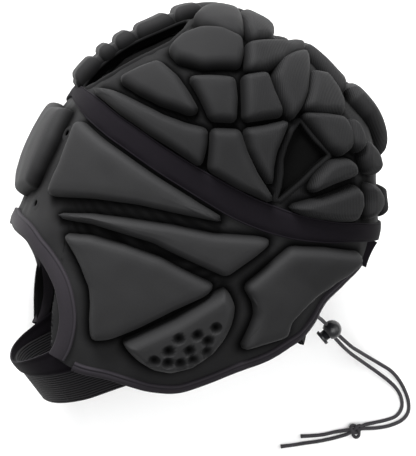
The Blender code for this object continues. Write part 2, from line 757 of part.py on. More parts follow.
def tape_line():
    """Centre line and widths of the tape's left half, from the brow mid-line to the nape mid-line."""
    table = np.array(TAPE, float)
    points = from_sheet(table[:, :2], TAPE_THICKNESS)
    front = on_midline(np.array([TAPE_FRONT_DEG]))
    rear = on_midline(np.array([TAPE_REAR_DEG]))
    line = smooth_curve(np.concatenate([front, points, rear]), TAPE_STATIONS // 2 + 1)
    widths = np.concatenate([[TAPE_FRONT_WIDTH], table[:, 2], [TAPE_REAR_WIDTH]]) * SHEET_UNIT
    share = np.linspace(0, 1, len(widths))
    return on_shell(line), np.interp(np.linspace(0, 1, len(line)), share, widths)


def ring_of(half):
    """A closed ring from its left half, which starts and ends on the mid-line."""
    return np.concatenate([half, mirrored(half[-2:0:-1])])


def side_of(line, distance, closed):
    """The line moved along the shell to its left, as seen from outside, by a distance for each point."""
    ahead = np.roll(line, -1, axis=0) - np.roll(line, 1, axis=0)
    if not closed:
        ahead[0] = line[1] - line[0]
        ahead[-1] = line[-1] - line[-2]
    across = np.cross(shell_normal(line), ahead)
    across /= np.linalg.norm(across, axis=1, keepdims=True)
    return on_shell(line + across * np.broadcast_to(distance, len(line))[:, None])


def rim_line():
    """The side panel's edge on the left half, from the nape down the rear edge and along the rim to the jaw."""
    return smooth_curve(from_sheet(RIM), RIM_POINTS)


def face_line():
    """The face edge on the left half, from the jaw up to the brow mid-line."""
    line = np.concatenate([from_sheet(FACE), on_midline(np.array([BROW_EDGE_DEG]))])
    return on_shell(smooth_curve(line, FACE_POINTS))


def midline_outline(front, rear, front_half, rear_half):
    """A pad or vent across the mid-line: a rounded quadrangle between two angles."""
    centre = (front + rear) / 2
    middle = (front_half + rear_half) / 2 * MIDDLE_SWELL
    left = ((front, front_half), (centre, middle), (rear, rear_half), (rear, REAR_STEP * rear_half))
    rows = [(front, 0.0), *left, *((angle, -offset) for angle, offset in left[::-1])]
    angles, offsets = np.array(rows).T
    return on_midline(angles, offsets)


def both_sides(table, height):
    """Outlines of the left half's pads or vents, and their mirror images."""
    left = []
    for rows in table:
        loop = from_sheet(rows, height)
        loop[:, 2] = np.maximum(loop[:, 2], MIDLINE_GROOVE / 2)
        left.append(on_shell(loop))
    return left + [mirrored(loop)[::-1] for loop in left]


def make_crown():
    """The crown panel, its lining and the tape over the seam."""
    half, widths = tape_line()
    ring = ring_of(half)
    ring_width = np.concatenate([widths, widths[-2:0:-1]])
    inward = -1.0 if side_of(ring, 0.001, True)[10, 1] < ring[10, 1] else 1.0
    lines = [(np.concatenate([ring, ring[:1]]), ring_width.max() / 2 + PAD_CLEAR)]
    sharp = [(0.0, 0.0), (CROWN_BEVEL, 1.0)]
    pads = []
    for _, *row in MIDLINE_PADS:
        pads.append((kept_clear(midline_outline(*row), lines), CROWN_PAD_HEIGHT, sharp, []))
    for outline in both_sides(CROWN_PADS.values(), CROWN_PAD_HEIGHT):
        pads.append((kept_clear(outline, lines), CROWN_PAD_HEIGHT, sharp, []))
    slit = np.array(FRONT_SLIT)
    slit = on_midline(np.concatenate([slit[:, 0], slit[::-1, 0]]), np.concatenate([slit[:, 1], slit[::-1, 2]]))
    vents = both_sides([SIDE_VENT], 0.0) + [slit, mirrored(slit)[::-1]]
    vents = [divided(loop) for loop in vents]
    vents.append(divided(midline_outline(REAR_VENT[0], REAR_VENT[1], REAR_VENT[2], REAR_VENT[2])))
    edge = side_of(ring, inward * SEAM_GAP / 2, True)
    panel("crown_panel", 1, edge, vents, pads, panel_cloth())

    lining = Sheet(1)
    border = side_of(ring, inward * 0.004, True)[::2]
    lining.add_loop(border, 0.0)
    spots = even_points(INNER_GRID_COUNT // 2)
    clear = contains(to_chart(border, 1), to_chart(spots, 1))
    clear &= nearest_on(border, spots, True)[1] > 0.008
    lining.add_points(spots[clear], 0.0)
    points = np.array(lining.points)
    faces = oriented(lining.triangles(to_chart(border, 1), []), points)
    outer_face = lifted(points, -WALL - LINING_CLEAR)
    inner_face = lifted(points, -WALL - LINING_CLEAR - LINING_THICKNESS)
    shift = len(points)
    solid = [tuple(f) for f in faces] + [tuple(f[::-1] + shift) for f in faces]
    loop = np.arange(len(border))
    solid += wall_faces(loop, loop + shift, faces_edges(solid))
    new_object("crown_lining", np.concatenate([outer_face, inner_face]), solid, lining_cloth())

    sections = []
    for share, height in ((-1, 0), (0, 0), (1, 0), (1, 1), (0, 1), (-1, 1)):
        spot = side_of(ring, share * ring_width / 2, True)
        sections.append(lifted(spot, TAPE_LIFT + height * TAPE_THICKNESS))
    loft("crown_tape", np.stack(sections, 1), tape_cloth(), closed=True)
    return ring, ring_width, inward


def make_sides(ring, ring_width, inward):
    """The side panel that wraps round the brow, and the bindings of its edges."""
    rim = rim_line()
    face = face_line()
    seam = side_of(ring, -inward * SEAM_GAP / 2, True)
    half = seam[: TAPE_STATIONS // 2 + 1]
    last = int(np.linalg.norm(half - rim[0], axis=1).argmin())
    left = np.concatenate([half[: last + 1], rim, face[1:]])
    edge = np.concatenate([left, mirrored(left[-2:0:-1])])
    tape = (np.concatenate([ring, ring[:1]]), ring_width.max() / 2 + PAD_CLEAR)
    lines = [tape, (face, FACE_BINDING_WIDTH + PAD_CLEAR), (rim, RIM_BINDING_WIDTH + PAD_CLEAR)]
    soft = [(0.0, 0.0), (SIDE_BEVEL, 1.0)]
    dome_steps = [(0.0, 0.0), (DOME_BEVEL / 2, 0.6), (DOME_BEVEL, 1.0)]
    pads = []
    for outline in SIDE_PADS.values():
        loop = kept_clear(from_sheet(outline, SIDE_PAD_HEIGHT), lines)
        pads.append((loop, SIDE_PAD_HEIGHT, soft, []))
        pads.append((mirrored(loop)[::-1], SIDE_PAD_HEIGHT, soft, []))
    dome = kept_clear(from_sheet(DOME, DOME_HEIGHT), lines)
    pits = from_sheet(DIMPLES, DOME_HEIGHT)
    pads.append((dome, DOME_HEIGHT, dome_steps, pits))
    pads.append((mirrored(dome)[::-1], DOME_HEIGHT, dome_steps, mirrored(pits)))
    brow_left = from_sheet(BROW_SIDE, BROW_PAD_HEIGHT)
    brow = np.concatenate([
        on_midline(np.array(BROW_ANGLES[:1])), brow_left, on_midline(np.array(BROW_ANGLES[1:])),
        mirrored(brow_left)[::-1],
    ])
    brow = kept_clear(brow, [*lines, (mirrored(face), FACE_BINDING_WIDTH + PAD_CLEAR)])
    pads.append((brow, BROW_PAD_HEIGHT, soft, []))
    holes = [hole_ring(spot, AIR_HOLE_RADIUS) for spot in from_sheet(AIR_HOLES)]
    holes += [mirrored(hole)[::-1] for hole in holes]
    panel("side_panel", -1, edge, holes, pads, panel_cloth())

    brow_face = np.concatenate([face, mirrored(face[-2::-1])])
    binding("face_binding", brow_face, FACE_BINDING_WIDTH, PANEL_SIDE)
    trimmed = smooth_curve(rim, BINDING_STATIONS)[2:-3]
    binding("rim_binding_left", trimmed, RIM_BINDING_WIDTH, PANEL_SIDE)
    binding("rim_binding_right", mirrored(trimmed), RIM_BINDING_WIDTH, -PANEL_SIDE)
    return rim, face


def binding(name, line, width, onto):
    """Cloth folded over an edge: an outer flap, a turn round the edge and an inner flap. The side that the panel
    lies on is 1 for the line's left and -1 for its right.
    """
    low, high = -WALL - FLAP_CLEAR, FLAP_CLEAR
    cloth = BINDING_THICKNESS
    rows = (
        (width, high), (-FIT_GAP, high), (-FIT_GAP, low), (INNER_FLAP, low),
        (INNER_FLAP, low - cloth), (-FIT_GAP - cloth, low - cloth), (-FIT_GAP - cloth, high + cloth),
        (width, high + cloth),
    )
    sections = [lifted(side_of(line, onto * across, False), height) for across, height in rows]
    loft(name, np.stack(sections, 1), tape_cloth())


def make_rear(rim):
    """Cloth gusset behind the rear lacing, the lacing cord on it and the small bare tab. Gives the lacing's line."""
    rows = []
    for point in rim[GUSSET_START:GUSSET_END:2]:
        angle = math.degrees(math.atan2(point[1], point[0]))
        half = point[2] + GUSSET_OVERLAP
        rows.append(on_midline(np.full(9, angle), np.linspace(-half, half, 9)))
    grid = np.array(rows)
    depth = WALL + FLAP_CLEAR + BINDING_THICKNESS + FLAP_CLEAR
    outer_face = lifted(grid, -depth)
    inner_face = lifted(grid, -depth - GUSSET_THICKNESS)
    loft("rear_gusset", np.concatenate([outer_face, inner_face[:, ::-1]], 1), tape_cloth())
    make_tab(depth)
    return make_lacing(rim, depth)


def make_tab(depth):
    """A small bare tab sewn flat-on to the nape's gusset, standing out along the mid-line."""
    foot = lifted(on_midline(np.array([TAB_DEG])), FIT_GAP - depth)[0]
    out = shell_normal(on_midline(np.array([TAB_DEG])))[0]
    along = np.cross(out, (0.0, 0.0, 1.0))
    rows = []
    for share in (-0.5, -0.17, 0.17, 0.5):
        spot = foot + along * share * TAB_WIDTH + out * TAB_LOW * abs(share) ** 2
        corners = ((0, -1), (0, 1), (1, 1), (1, -1))
        rows.append([spot + out * (a * TAB_LENGTH) + np.array((0, 0, b * TAPE_THICKNESS / 2)) for a, b in corners])
    loft("rear_tab", rows, tape_cloth())


def make_lacing(rim, depth):
    """The cord that crosses the rear gap from edge to edge. Gives its line."""
    rows = []
    for step, place in enumerate(range(LACING_START, LACING_END, LACING_STEP)):
        angle = math.degrees(math.atan2(rim[place][1], rim[place][0]))
        side = (-1, 1, 0)[step] * (rim[place][2] - LACING_INSET)
        rows.append(on_midline(np.array([angle]), np.array([side]))[0])
    line = smooth_curve(np.array(rows), LACING_POINTS)
    line = lifted(on_shell(line), CORD_DIAMETER / 2 + LACING_CLEAR - depth)
    cord("lacing_cord", line, cord_braid())
    return line


def make_strap():
    """The elastic chin strap, a whole loop between the jaws, and the cloth band along its upper edge."""
    rows = np.array(STRAP_ROUTE, float)
    flat = sheet_point(rows[:, 0], rows[:, 1])
    tilt = math.radians(STRAP_TILT_DEG)
    across = np.array((math.cos(tilt), math.sin(tilt), 0.0))
    corners = flat[0] + across * np.linspace(-0.5, 0.5, 5)[:, None] * ELASTIC_WIDTH
    layers = WALL + 3 * FIT_GAP + BINDING_THICKNESS + BAND_THICKNESS + ELASTIC_THICKNESS / 2
    end = shell_side(corners).min() - layers
    half = np.column_stack([flat[:, :2], rows[:, 2] * end])
    line = smooth_curve(np.concatenate([half, mirrored(half[-2::-1])]), STRAP_STATIONS)
    ahead = np.gradient(line, axis=0)
    out = np.cross(ahead, across)
    out /= np.linalg.norm(out, axis=1, keepdims=True)
    if out[STRAP_STATIONS // 2, 0] > 0:
        out = -out

    def strip(name, low, high, inner, outer, finish):
        rows = ((low, inner), (high, inner), (high, outer), (low, outer))
        sections = [line + across * np.broadcast_to(a, STRAP_STATIONS)[:, None] + out * b for a, b in rows]
        loft(name, np.stack(sections, 1), finish)

    width, thick = ELASTIC_WIDTH, ELASTIC_THICKNESS
    strip("chin_elastic", -width / 2, width / 2, -thick / 2, thick / 2, elastic_web())
    share = np.abs(np.linspace(-1, 1, STRAP_STATIONS))
    top = -width / 2 - 0.002 - 0.012 * share**1.5
    bottom = -width / 2 + 0.004 + 0.006 * share
    base = thick / 2 + FIT_GAP
    strip("chin_band", top, bottom, base, base + BAND_THICKNESS, tape_cloth())


def over_surface(x, y, height, lift):
    """A point over the resting surface that the sheet shows at a place, in the wearer frame."""
    eye = sheet_axes()[0]
    target = sheet_point(x, y)
    turn = rest_matrix()
    high = eye @ turn.T
    low = target @ turn.T
    share = (high[2] - (height - lift)) / (high[2] - low[..., 2])
    return eye + (target - eye) * share[..., None]


def cord(name, points, finish):
    """A round cord along a smooth curve through its route's points."""
    run = np.linalg.norm(np.diff(points, axis=0), axis=1).sum()
    line = smooth_curve(points, max(4, int(run / (2.6 * CORD_DIAMETER)))) @ rest_matrix().T
    curve = bpy.data.curves.new(name, "CURVE")
    curve.dimensions = "3D"
    curve.bevel_depth = CORD_DIAMETER / 2
    curve.bevel_resolution = 2
    curve.use_fill_caps = True
    spline = curve.splines.new("POLY")
    spline.points.add(len(line) - 1)
    for point, place in zip(spline.points, line):
        point.co = (*place, 1.0)
    curve.materials.append(finish)
    piece = bpy.data.objects.new(name, curve)
    bpy.context.scene.collection.objects.link(piece)
    BUILT.append(piece)
    return piece


def route(rows, lift):
    """A cord's route in the wearer frame from its rows on the sheet."""
    table = np.array(rows, float)
    return over_surface(table[:, 0], table[:, 1], table[:, 2], lift)


def make_drawcord(lift, lacing):
    """The drawcord laid out on the surface, its spring lock and its knot. Gives the lock's button and its middle."""
    last = lacing[-1] - lacing[-2]
    start = lacing[-1] + last / np.linalg.norm(last) * EXIT_SPACE
    cord("drawcord_exit", np.concatenate([start[None], route(EXIT_ROUTE, lift)]), cord_braid())
    cord("drawcord_a", route(STRAND_A, lift), cord_braid())
    cord("drawcord_b", route(STRAND_B, lift), cord_braid())
    cord("drawcord_tail_a", route(TAIL_A, lift), cord_braid())
    cord("drawcord_tail_b", route(TAIL_B, lift), cord_braid())

    place = over_surface(LOCK[0], LOCK[1], LOCK[2], lift)
    _, right, up = sheet_axes()
    turn = math.radians(LOCK_AXIS_DEG)
    axis = math.cos(turn) * right + math.sin(turn) * up
    bore = BUTTON_RADIUS + BUTTON_CLEARANCE
    mouth = math.sqrt(LOCK_RADIUS**2 - (bore + 0.0006) ** 2)
    start = math.acos(mouth / LOCK_RADIUS)
    arc = [(LOCK_RADIUS * math.cos(a), LOCK_RADIUS * math.sin(a)) for a in np.linspace(start, math.pi, 10)[:-1]]
    depth = -0.0015
    barrel = [(depth, 0.0), (depth, bore), (mouth, bore), *arc, (-LOCK_RADIUS, 0.0)]
    turned("cord_lock_barrel", barrel, place, axis, lock_plastic())
    tip = depth + BUTTON_TRAVEL + 0.0008
    rest = mouth + BUTTON_TRAVEL + 0.0006
    button = [
        (tip, 0.0), (tip, BUTTON_RADIUS), (rest, BUTTON_RADIUS), (rest, BUTTON_FLANGE_RADIUS),
        (rest + BUTTON_FLANGE - 0.0006, BUTTON_FLANGE_RADIUS), (rest + BUTTON_FLANGE, BUTTON_FLANGE_RADIUS - 0.0006),
        (rest + BUTTON_FLANGE, 0.0),
    ]
    pusher = turned("cord_lock_button", button, place, axis, lock_plastic())

    spot = over_surface(np.float64(KNOT[0]), np.float64(KNOT[1]), np.float64(KNOT_RADIUS + 0.0001), lift)
    lean = np.array((math.cos(math.radians(15)), math.sin(math.radians(15)), 0.0))
    knot = [(-0.0045, 0.0)]
    for a in np.linspace(math.pi, 0, 9)[1:-1]:
        knot.append((0.0045 * math.cos(a), KNOT_RADIUS * math.sin(a)))
    knot.append((0.0045, 0.0))
    turned("drawcord_knot", knot, spot, lean, cord_braid())
    return pusher, Vector(rest_matrix() @ place)


def solid_points():
    """All points of the pieces made so far, without the cords."""
    clouds = []
    for piece in BUILT:
        if piece.type == "MESH":
            cloud = np.empty(len(piece.data.vertices) * 3)
            piece.data.vertices.foreach_get("co", cloud)
            clouds.append(cloud.reshape(-1, 3))
    return np.concatenate(clouds)


def main():
    for old in list(bpy.data.objects):
        bpy.data.objects.remove(old)
    ring, ring_width, inward = make_crown()
    rim, _ = make_sides(ring, ring_width, inward)
    lacing = make_rear(rim)
    make_strap()
    cloud = solid_points()
    low, high = cloud.min(0), cloud.max(0)
    lift = -low[2]
    pusher, pivot = make_drawcord(lift, lacing)
    shift = Vector((-(low[0] + high[0]) / 2, -(low[1] + high[1]) / 2, lift))
    for piece in BUILT:
        if piece.type == "MESH":
            piece.data.transform(Matrix.Translation(shift))
        else:
            for point in piece.data.splines[0].points:
                point.co = (*(Vector(point.co[:3]) + shift), 1.0)
    pusher.data.transform(Matrix.Translation(-pivot - shift))
    pusher.location = pivot + shift


main()
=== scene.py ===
# %% [markdown]
# # A soft padded headguard
#
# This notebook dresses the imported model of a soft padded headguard. The headguard lies on its right side, and its
# drawcord is laid out beside it. Every surface is worked out from a short table and a rule that is written in words
# above it, so each step can be changed and run again.
#
# Two frames are used. In the wearer frame +X points to the back of the head, +Y to the crown and +Z to the wearer's
# left. The world frame is the wearer frame turned by a few degrees and lifted onto the surface.

# %% Start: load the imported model
import math

import bpy
import numpy as np
from mathutils import Matrix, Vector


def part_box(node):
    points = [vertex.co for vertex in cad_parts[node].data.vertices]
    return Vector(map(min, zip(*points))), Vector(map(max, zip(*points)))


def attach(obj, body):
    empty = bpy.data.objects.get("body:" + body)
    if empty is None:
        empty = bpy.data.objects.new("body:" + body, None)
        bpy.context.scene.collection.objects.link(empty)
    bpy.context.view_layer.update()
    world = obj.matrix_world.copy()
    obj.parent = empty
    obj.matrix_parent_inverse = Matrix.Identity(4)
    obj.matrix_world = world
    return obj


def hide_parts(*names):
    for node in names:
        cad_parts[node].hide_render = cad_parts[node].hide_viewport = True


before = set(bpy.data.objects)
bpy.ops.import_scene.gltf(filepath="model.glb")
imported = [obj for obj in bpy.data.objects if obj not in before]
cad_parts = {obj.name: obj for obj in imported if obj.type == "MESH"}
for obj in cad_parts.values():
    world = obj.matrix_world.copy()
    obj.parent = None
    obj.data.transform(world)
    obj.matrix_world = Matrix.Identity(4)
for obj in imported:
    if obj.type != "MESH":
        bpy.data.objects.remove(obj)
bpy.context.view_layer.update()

print("pieces of the model:", len(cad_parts))

# %% [markdown]
# ## Sizes
#
# Lengths are in metres. The layout sheet is a side view with 377 units over the headguard's 241 mm length, so one
# unit is 0.64 mm. It is drawn as seen from an eye point 1.5 m away, a little in front of and above the left side.

# %% Sizes
HELMET_LENGTH = 0.241
SHEET_CENTRE = (205.0, 205.0)
SHEET_UNIT = HELMET_LENGTH / 377.0
EYE_DISTANCE = 1.5
EYE_FORWARD_DEG, EYE_UP_DEG = 9.0, 6.0
REST_PITCH_DEG = -4.07
HALF_WIDTH, WIDER_BACK, WIDER_UP, SQUARENESS = 0.082, 0.02, 0.06, 2.8
WALL = 0.0035
CROWN_PAD, SIDE_PAD, BROW_PAD, DOME_PAD = 0.0080, 0.0070, 0.0075, 0.0120
TAPE_LIFT, TAPE_THICKNESS = 0.0006, 0.0012
BINDING_LIFT, BINDING_THICKNESS = 0.0010, 0.0012
FACE_BINDING_WIDTH, RIM_BINDING_WIDTH, PAD_CLEAR = 0.0095, 0.0048, 0.0019
CORD_DIAMETER = 0.0025
FLOOR = 0.0

# %% [markdown]
# ## The shell
#
# The shell is one closed form. Its mid-line profile is a radius for each angle round the head, and across the head
# it narrows as a superellipse. `shell_level` is 1 on the shell, less inside it and more outside it, so dividing a
# point by its level moves it onto the shell.

# %% The shell
PROFILE = (
    (-90, 215), (-75, 205), (-60, 190), (-50, 168), (-40, 156), (-30, 159), (-20, 168), (-8, 171), (5, 168),
    (17, 174), (30, 179), (43, 174), (58, 177), (70, 181), (82, 187), (94, 188), (105, 181), (118, 178),
    (130, 175), (140, 171), (152, 172), (165, 175), (176, 179), (184, 190), (195, 205), (210, 250), (225, 280),
    (240, 272), (255, 240),
)


def periodic(table, angle):
    """Value of a table of angle and value at any angle, along a smooth curve through the rows."""
    knots = np.array(table, float)
    turns = np.concatenate([knots + (-360.0, 0.0), knots, knots + (360.0, 0.0)])
    place = (np.asarray(angle, float) + 90.0) % 360.0 - 90.0
    i = np.clip(np.searchsorted(turns[:, 0], place, side="right") - 1, 1, len(turns) - 3)
    x0, x1, x2, x3 = (turns[i + k, 0] for k in (-1, 0, 1, 2))
    y0, y1, y2, y3 = (turns[i + k, 1] for k in (-1, 0, 1, 2))
    t = (place - x1) / (x2 - x1)
    m1 = (y2 - y0) / (x2 - x0) * (x2 - x1)
    m2 = (y3 - y1) / (x3 - x1) * (x2 - x1)
    return ((2 * t**3 - 3 * t**2 + 1) * y1 + (t**3 - 2 * t**2 + t) * m1
            + (3 * t**2 - 2 * t**3) * y2 + (t**3 - t**2) * m2)


def width_at(x, y):
    """Half-width that the shell tends to at a place seen from the side."""
    return HALF_WIDTH * (1 + (WIDER_BACK * x + WIDER_UP * y) / (HELMET_LENGTH / 2))


def shell_level(points):
    """Size of the shell's scaled copy that passes through each point."""
    x, y, z = np.moveaxis(points, -1, 0)
    reach = np.hypot(x, y) / (periodic(PROFILE, np.degrees(np.arctan2(y, x))) * SHEET_UNIT)
    return (reach**SQUARENESS + np.abs(z / width_at(x, y)) ** SQUARENESS) ** (1 / SQUARENESS)


def on_shell(points):
    """The points moved along their rays from the origin onto the shell."""
    for _ in range(4):
        points = points / shell_level(points)[..., None]
    return points


def unit(vectors):
    """Vectors scaled to a length of 1."""
    return vectors / np.linalg.norm(vectors, axis=-1, keepdims=True)


def shell_normal(points, step=0.0004):
    """Outward unit normals of the shell, by central differences."""
    return unit(np.stack([shell_level(points + step * a) - shell_level(points - step * a) for a in np.eye(3)], -1))


def lifted(points, height):
    """Points of the shell moved out along its normal."""
    return points + shell_normal(points) * np.broadcast_to(height, points.shape[:-1])[..., None]


def on_midline(angle, offset=0.0):
    """A point of the shell at an angle round the head, at a distance to the left of the mid-line."""
    angle, offset = np.broadcast_arrays(np.asarray(angle, float), np.asarray(offset, float))
    radius = periodic(PROFILE, angle) * SHEET_UNIT
    turn = np.radians(angle)
    width = width_at(radius * np.cos(turn), radius * np.sin(turn))
    reach = radius * (1 - np.abs(offset / width) ** SQUARENESS) ** (1 / SQUARENESS)
    return on_shell(np.stack([reach * np.cos(turn), reach * np.sin(turn), offset], -1))


def mirrored(points):
    """The same points on the other half of the head."""
    return points * (1.0, 1.0, -1.0)


print("half width at the crown:", round(float(width_at(0.0, 0.12)), 4))

# %% [markdown]
# ## From the sheet to the shell
#
# A place on the sheet is a line of sight from the eye point. `from_sheet` steps along that line from the eye until
# it meets the shell, or a copy of it raised by a height, and then halves the step many times.

# %% From the sheet to the shell
forward, upward = math.radians(EYE_FORWARD_DEG), math.radians(EYE_UP_DEG)
BACK = np.array((-math.sin(forward) * math.cos(upward), math.sin(upward), math.cos(forward) * math.cos(upward)))
RIGHT = np.array((math.cos(forward), 0.0, math.sin(forward)))
UP = np.cross(BACK, RIGHT)
EYE = BACK * EYE_DISTANCE
SIGHT_SHARES, SIGHT_STEPS, HALVINGS = (0.90, 1.06), 161, 26


def sheet_point(x, y):
    """A place on the sheet as a point of the plane through the origin that faces the eye."""
    across = (np.asarray(x, float) - SHEET_CENTRE[0]) * SHEET_UNIT
    down = (np.asarray(y, float) - SHEET_CENTRE[1]) * SHEET_UNIT
    return across[..., None] * RIGHT - down[..., None] * UP


def from_sheet(places, height=0.0):
    """Points of the shell's left half whose copies raised by a height show at places of the sheet."""
    places = np.asarray(places, float)
    reached = 1.0 + height / (HELMET_LENGTH / 2)
    way = sheet_point(places[:, 0], places[:, 1]) - EYE
    along = np.linspace(*SIGHT_SHARES, SIGHT_STEPS)
    level = shell_level(EYE + way[:, None, :] * along[None, :, None])
    inside = level < reached
    first = np.where(inside.any(1), inside.argmax(1), level.argmin(1))
    near, far = along[np.maximum(first - 1, 0)], along[first]
    for _ in range(HALVINGS):
        middle = (near + far) / 2
        hit = shell_level(EYE + way * middle[:, None]) < reached
        far, near = np.where(hit, middle, far), np.where(hit, near, middle)
    return on_shell(EYE + way * far[:, None])


def smooth_curve(points, count, closed=False):
    """Points at even steps along a smooth curve through the given points."""
    points = np.asarray(points, float)
    ring = np.concatenate([points[-1:], points, points[:2]]) if closed else np.concatenate(
        [2 * points[:1] - points[1:2], points, 2 * points[-1:] - points[-2:-1]])
    t = np.linspace(0, 1, 24, endpoint=False)[:, None]
    dense = [b + t * (c - a) / 2 + t**2 * (a - 2.5 * b + 2 * c - d / 2) + t**3 * (-a / 2 + 1.5 * b - 1.5 * c + d / 2)
             for a, b, c, d in zip(ring, ring[1:], ring[2:], ring[3:])]
    dense = np.concatenate(dense + [points[:1] if closed else points[-1:]])
    return even_steps(dense, count, closed)


def even_steps(line, count, closed=False):
    """The line's points moved to even steps along it. A closed line ends where it starts."""
    run = np.concatenate([[0.0], np.cumsum(np.linalg.norm(np.diff(line, axis=0), axis=1))])
    place = np.linspace(0, run[-1], count, endpoint=not closed)
    return np.stack([np.interp(place, run, column) for column in line.T], -1)


def run_of(line):
    """A line's length."""
    return float(np.linalg.norm(np.diff(line, axis=0), axis=1).sum())


print("nearest point of the shell to the eye:", from_sheet([(205, 205)])[0].round(4))

# %% [markdown]
# ## The seam lines
#
# The crown tape covers the seam between the crown and the sides. It runs as a whole ring over the brow, along both
# sides and round the nape. The lower edge of the side runs from the nape to the jaw, and the face edge from the jaw
# to the brow. These lines hold all the other pieces.

# %% The seam lines
TAPE = (
    (84, 100, 18), (108, 122, 24), (132, 139.5, 25), (161, 160, 25), (192.5, 179.5, 26), (222, 197, 28),
    (251, 212, 28), (281, 223, 24), (304, 229, 20), (334, 233, 18), (359, 233, 18),
)
RIM = (
    (366, 247), (359, 264), (340, 284), (322, 303), (313, 320), (303, 334), (289, 345), (268, 358), (243, 367.5),
    (219, 377), (198, 385), (176, 391), (152, 390), (128, 384), (105, 377), (79, 371), (62, 362), (51, 353),
)
FACE = ((51, 353), (57, 341), (61, 322), (60, 304), (56, 286), (48, 269), (37, 252), (25, 236))
SEAM_ENDS, TAPE_ENDS = (138.1, -8.0), (14.0, 18.0)
FACE_TOP = 184.5
RING_STEPS = 560


def tape_half(count):
    """Left half of the tape's centre line, from the brow to the nape, and the tape's widths along it."""
    table = np.array(TAPE, float)
    ends = on_midline(np.array([SEAM_ENDS[0]])), on_midline(np.array([SEAM_ENDS[1]]))
    line = smooth_curve(np.concatenate([ends[0], from_sheet(table[:, :2], TAPE_THICKNESS), ends[1]]), count)
    widths = np.concatenate([TAPE_ENDS[:1], table[:, 2], TAPE_ENDS[1:]]) * SHEET_UNIT
    return on_shell(line), np.interp(np.linspace(0, 1, count), np.linspace(0, 1, len(widths)), widths)


def tape_ring(stations):
    """The whole ring and its widths."""
    half, widths = tape_half(stations // 2 + 1)
    return np.concatenate([half, mirrored(half[-2:0:-1])]), np.concatenate([widths, widths[-2:0:-1]])


def beside(line, distance, closed):
    """The line moved along the shell to its left, as seen from outside."""
    ahead = np.roll(line, -1, axis=0) - np.roll(line, 1, axis=0)
    if not closed:
        ahead[0], ahead[-1] = line[1] - line[0], line[-1] - line[-2]
    across = unit(np.cross(shell_normal(line), ahead))
    return on_shell(line + across * np.broadcast_to(distance, len(line))[:, None])


RING, RING_WIDTH = tape_ring(RING_STEPS)
CLOSED_RING = np.concatenate([RING, RING[:1]])
CROWN_SIDE = -1.0 if beside(RING, 0.001, True)[100, 1] < RING[100, 1] else 1.0
RIM_LINE = on_shell(smooth_curve(from_sheet(RIM), 200))
FACE_LINE = on_shell(smooth_curve(np.concatenate([from_sheet(FACE), on_midline(np.array([FACE_TOP]))]), 110))
print("tape ring length:", round(run_of(CLOSED_RING), 3))

# %% [markdown]
# ## Where the headguard lies
#
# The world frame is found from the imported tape: the same tape made here, turned by the rest angle, has its own
# lowest corner, and the difference between the two corners is the lift and shift of the whole headguard.

# %% Where the headguard lies
pitch = math.radians(REST_PITCH_DEG)
TURN = np.array(((math.cos(pitch), 0, math.sin(pitch)), (0, 1, 0), (-math.sin(pitch), 0, math.cos(pitch))))
coarse, coarse_width = tape_ring(RING_STEPS // 10)
corners = np.concatenate([lifted(beside(coarse, side * coarse_width / 2, True), TAPE_LIFT + h * TAPE_THICKNESS)
                          for side in (-1, 0, 1) for h in (0, 1)]) @ TURN.T
SHIFT = np.array(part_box("crown_tape")[0]) - corners.min(0)


def to_world(points):
    """Points of the wearer frame in the world frame."""
    return np.asarray(points) @ TURN.T + SHIFT


# %% [markdown]
# ## Camera
#
# The camera stands at the eye point and looks straight along the sheet's own normal, so a place on the sheet is a
# pixel of the picture.

# %% Camera
PICTURE_SIZE = (416, 456)
camera = bpy.data.objects.new("camera", bpy.data.cameras.new("camera"))
bpy.context.scene.collection.objects.link(camera)
columns = [TURN @ v for v in (RIGHT, UP, BACK)]
camera.matrix_world = Matrix([(*(c[i] for c in columns), to_world(EYE)[i]) for i in range(3)] + [(0, 0, 0, 1)])
camera.data.sensor_fit = "HORIZONTAL"
camera.data.angle = 2 * math.atan(PICTURE_SIZE[0] / 2 * SHEET_UNIT / EYE_DISTANCE)
camera.data.shift_x = (PICTURE_SIZE[0] / 2 - SHEET_CENTRE[0]) / PICTURE_SIZE[0]
camera.data.shift_y = -(PICTURE_SIZE[1] / 2 - SHEET_CENTRE[1]) / PICTURE_SIZE[0]
bpy.context.scene.camera = camera

print("camera height:", round(camera.matrix_world.translation.z, 3))

# %% [markdown]
# ## The drawcord
#
# The cord leaves the rear lacing, drops into the spring lock, and leaves it as two strands that fall onto the
# surface, run round in a wide bend and meet in a knot. Each row holds a place on the sheet and the height of the
# cord's middle over the surface. A line of sight through the place gives the point at that height.

# %% The drawcord's route
LYING = 0.00135
EXIT_ROUTE = ((314, 316, 0.078), (320, 318.5, 0.060), (326.1, 324.0, 0.0474))
STRAND_A = ((337.5, 334.2, 0.0418), (345, 341, 0.0365), (352, 347, 0.0300), (360, 352, 0.0215),
            (369, 357.5, 0.0120), (380, 364, 0.0050), (391, 371, 0.0022), (399, 380, LYING),
            (405, 391, LYING), (408.5, 402, LYING), (408, 412, LYING), (402, 420, LYING),
            (390, 425.5, LYING), (376, 428, LYING), (363.6, 428.5, 0.0030))
STRAND_B = ((334.6, 337.5, 0.0418), (342, 345.5, 0.0360), (349, 352, 0.0290), (357, 358, 0.0205),
            (367, 365, 0.0110), (379, 373.5, 0.0045), (390, 382, 0.0018), (397.5, 390, LYING),
            (401.5, 399, LYING), (401.5, 408, LYING), (396, 416, LYING), (386, 420, LYING),
            (375, 422.5, LYING), (365.0, 424.6, 0.0020))
TAIL_A = ((348.4, 429.9, 0.0020), (336, 431.8, LYING), (324, 434.5, LYING), (312, 435.8, LYING),
          (301, 436.3, LYING))
TAIL_B = ((346.8, 434.4, 0.0018), (334, 438, LYING), (320, 441, LYING), (306, 443, LYING),
          (293, 445, LYING), (281, 446.5, LYING))
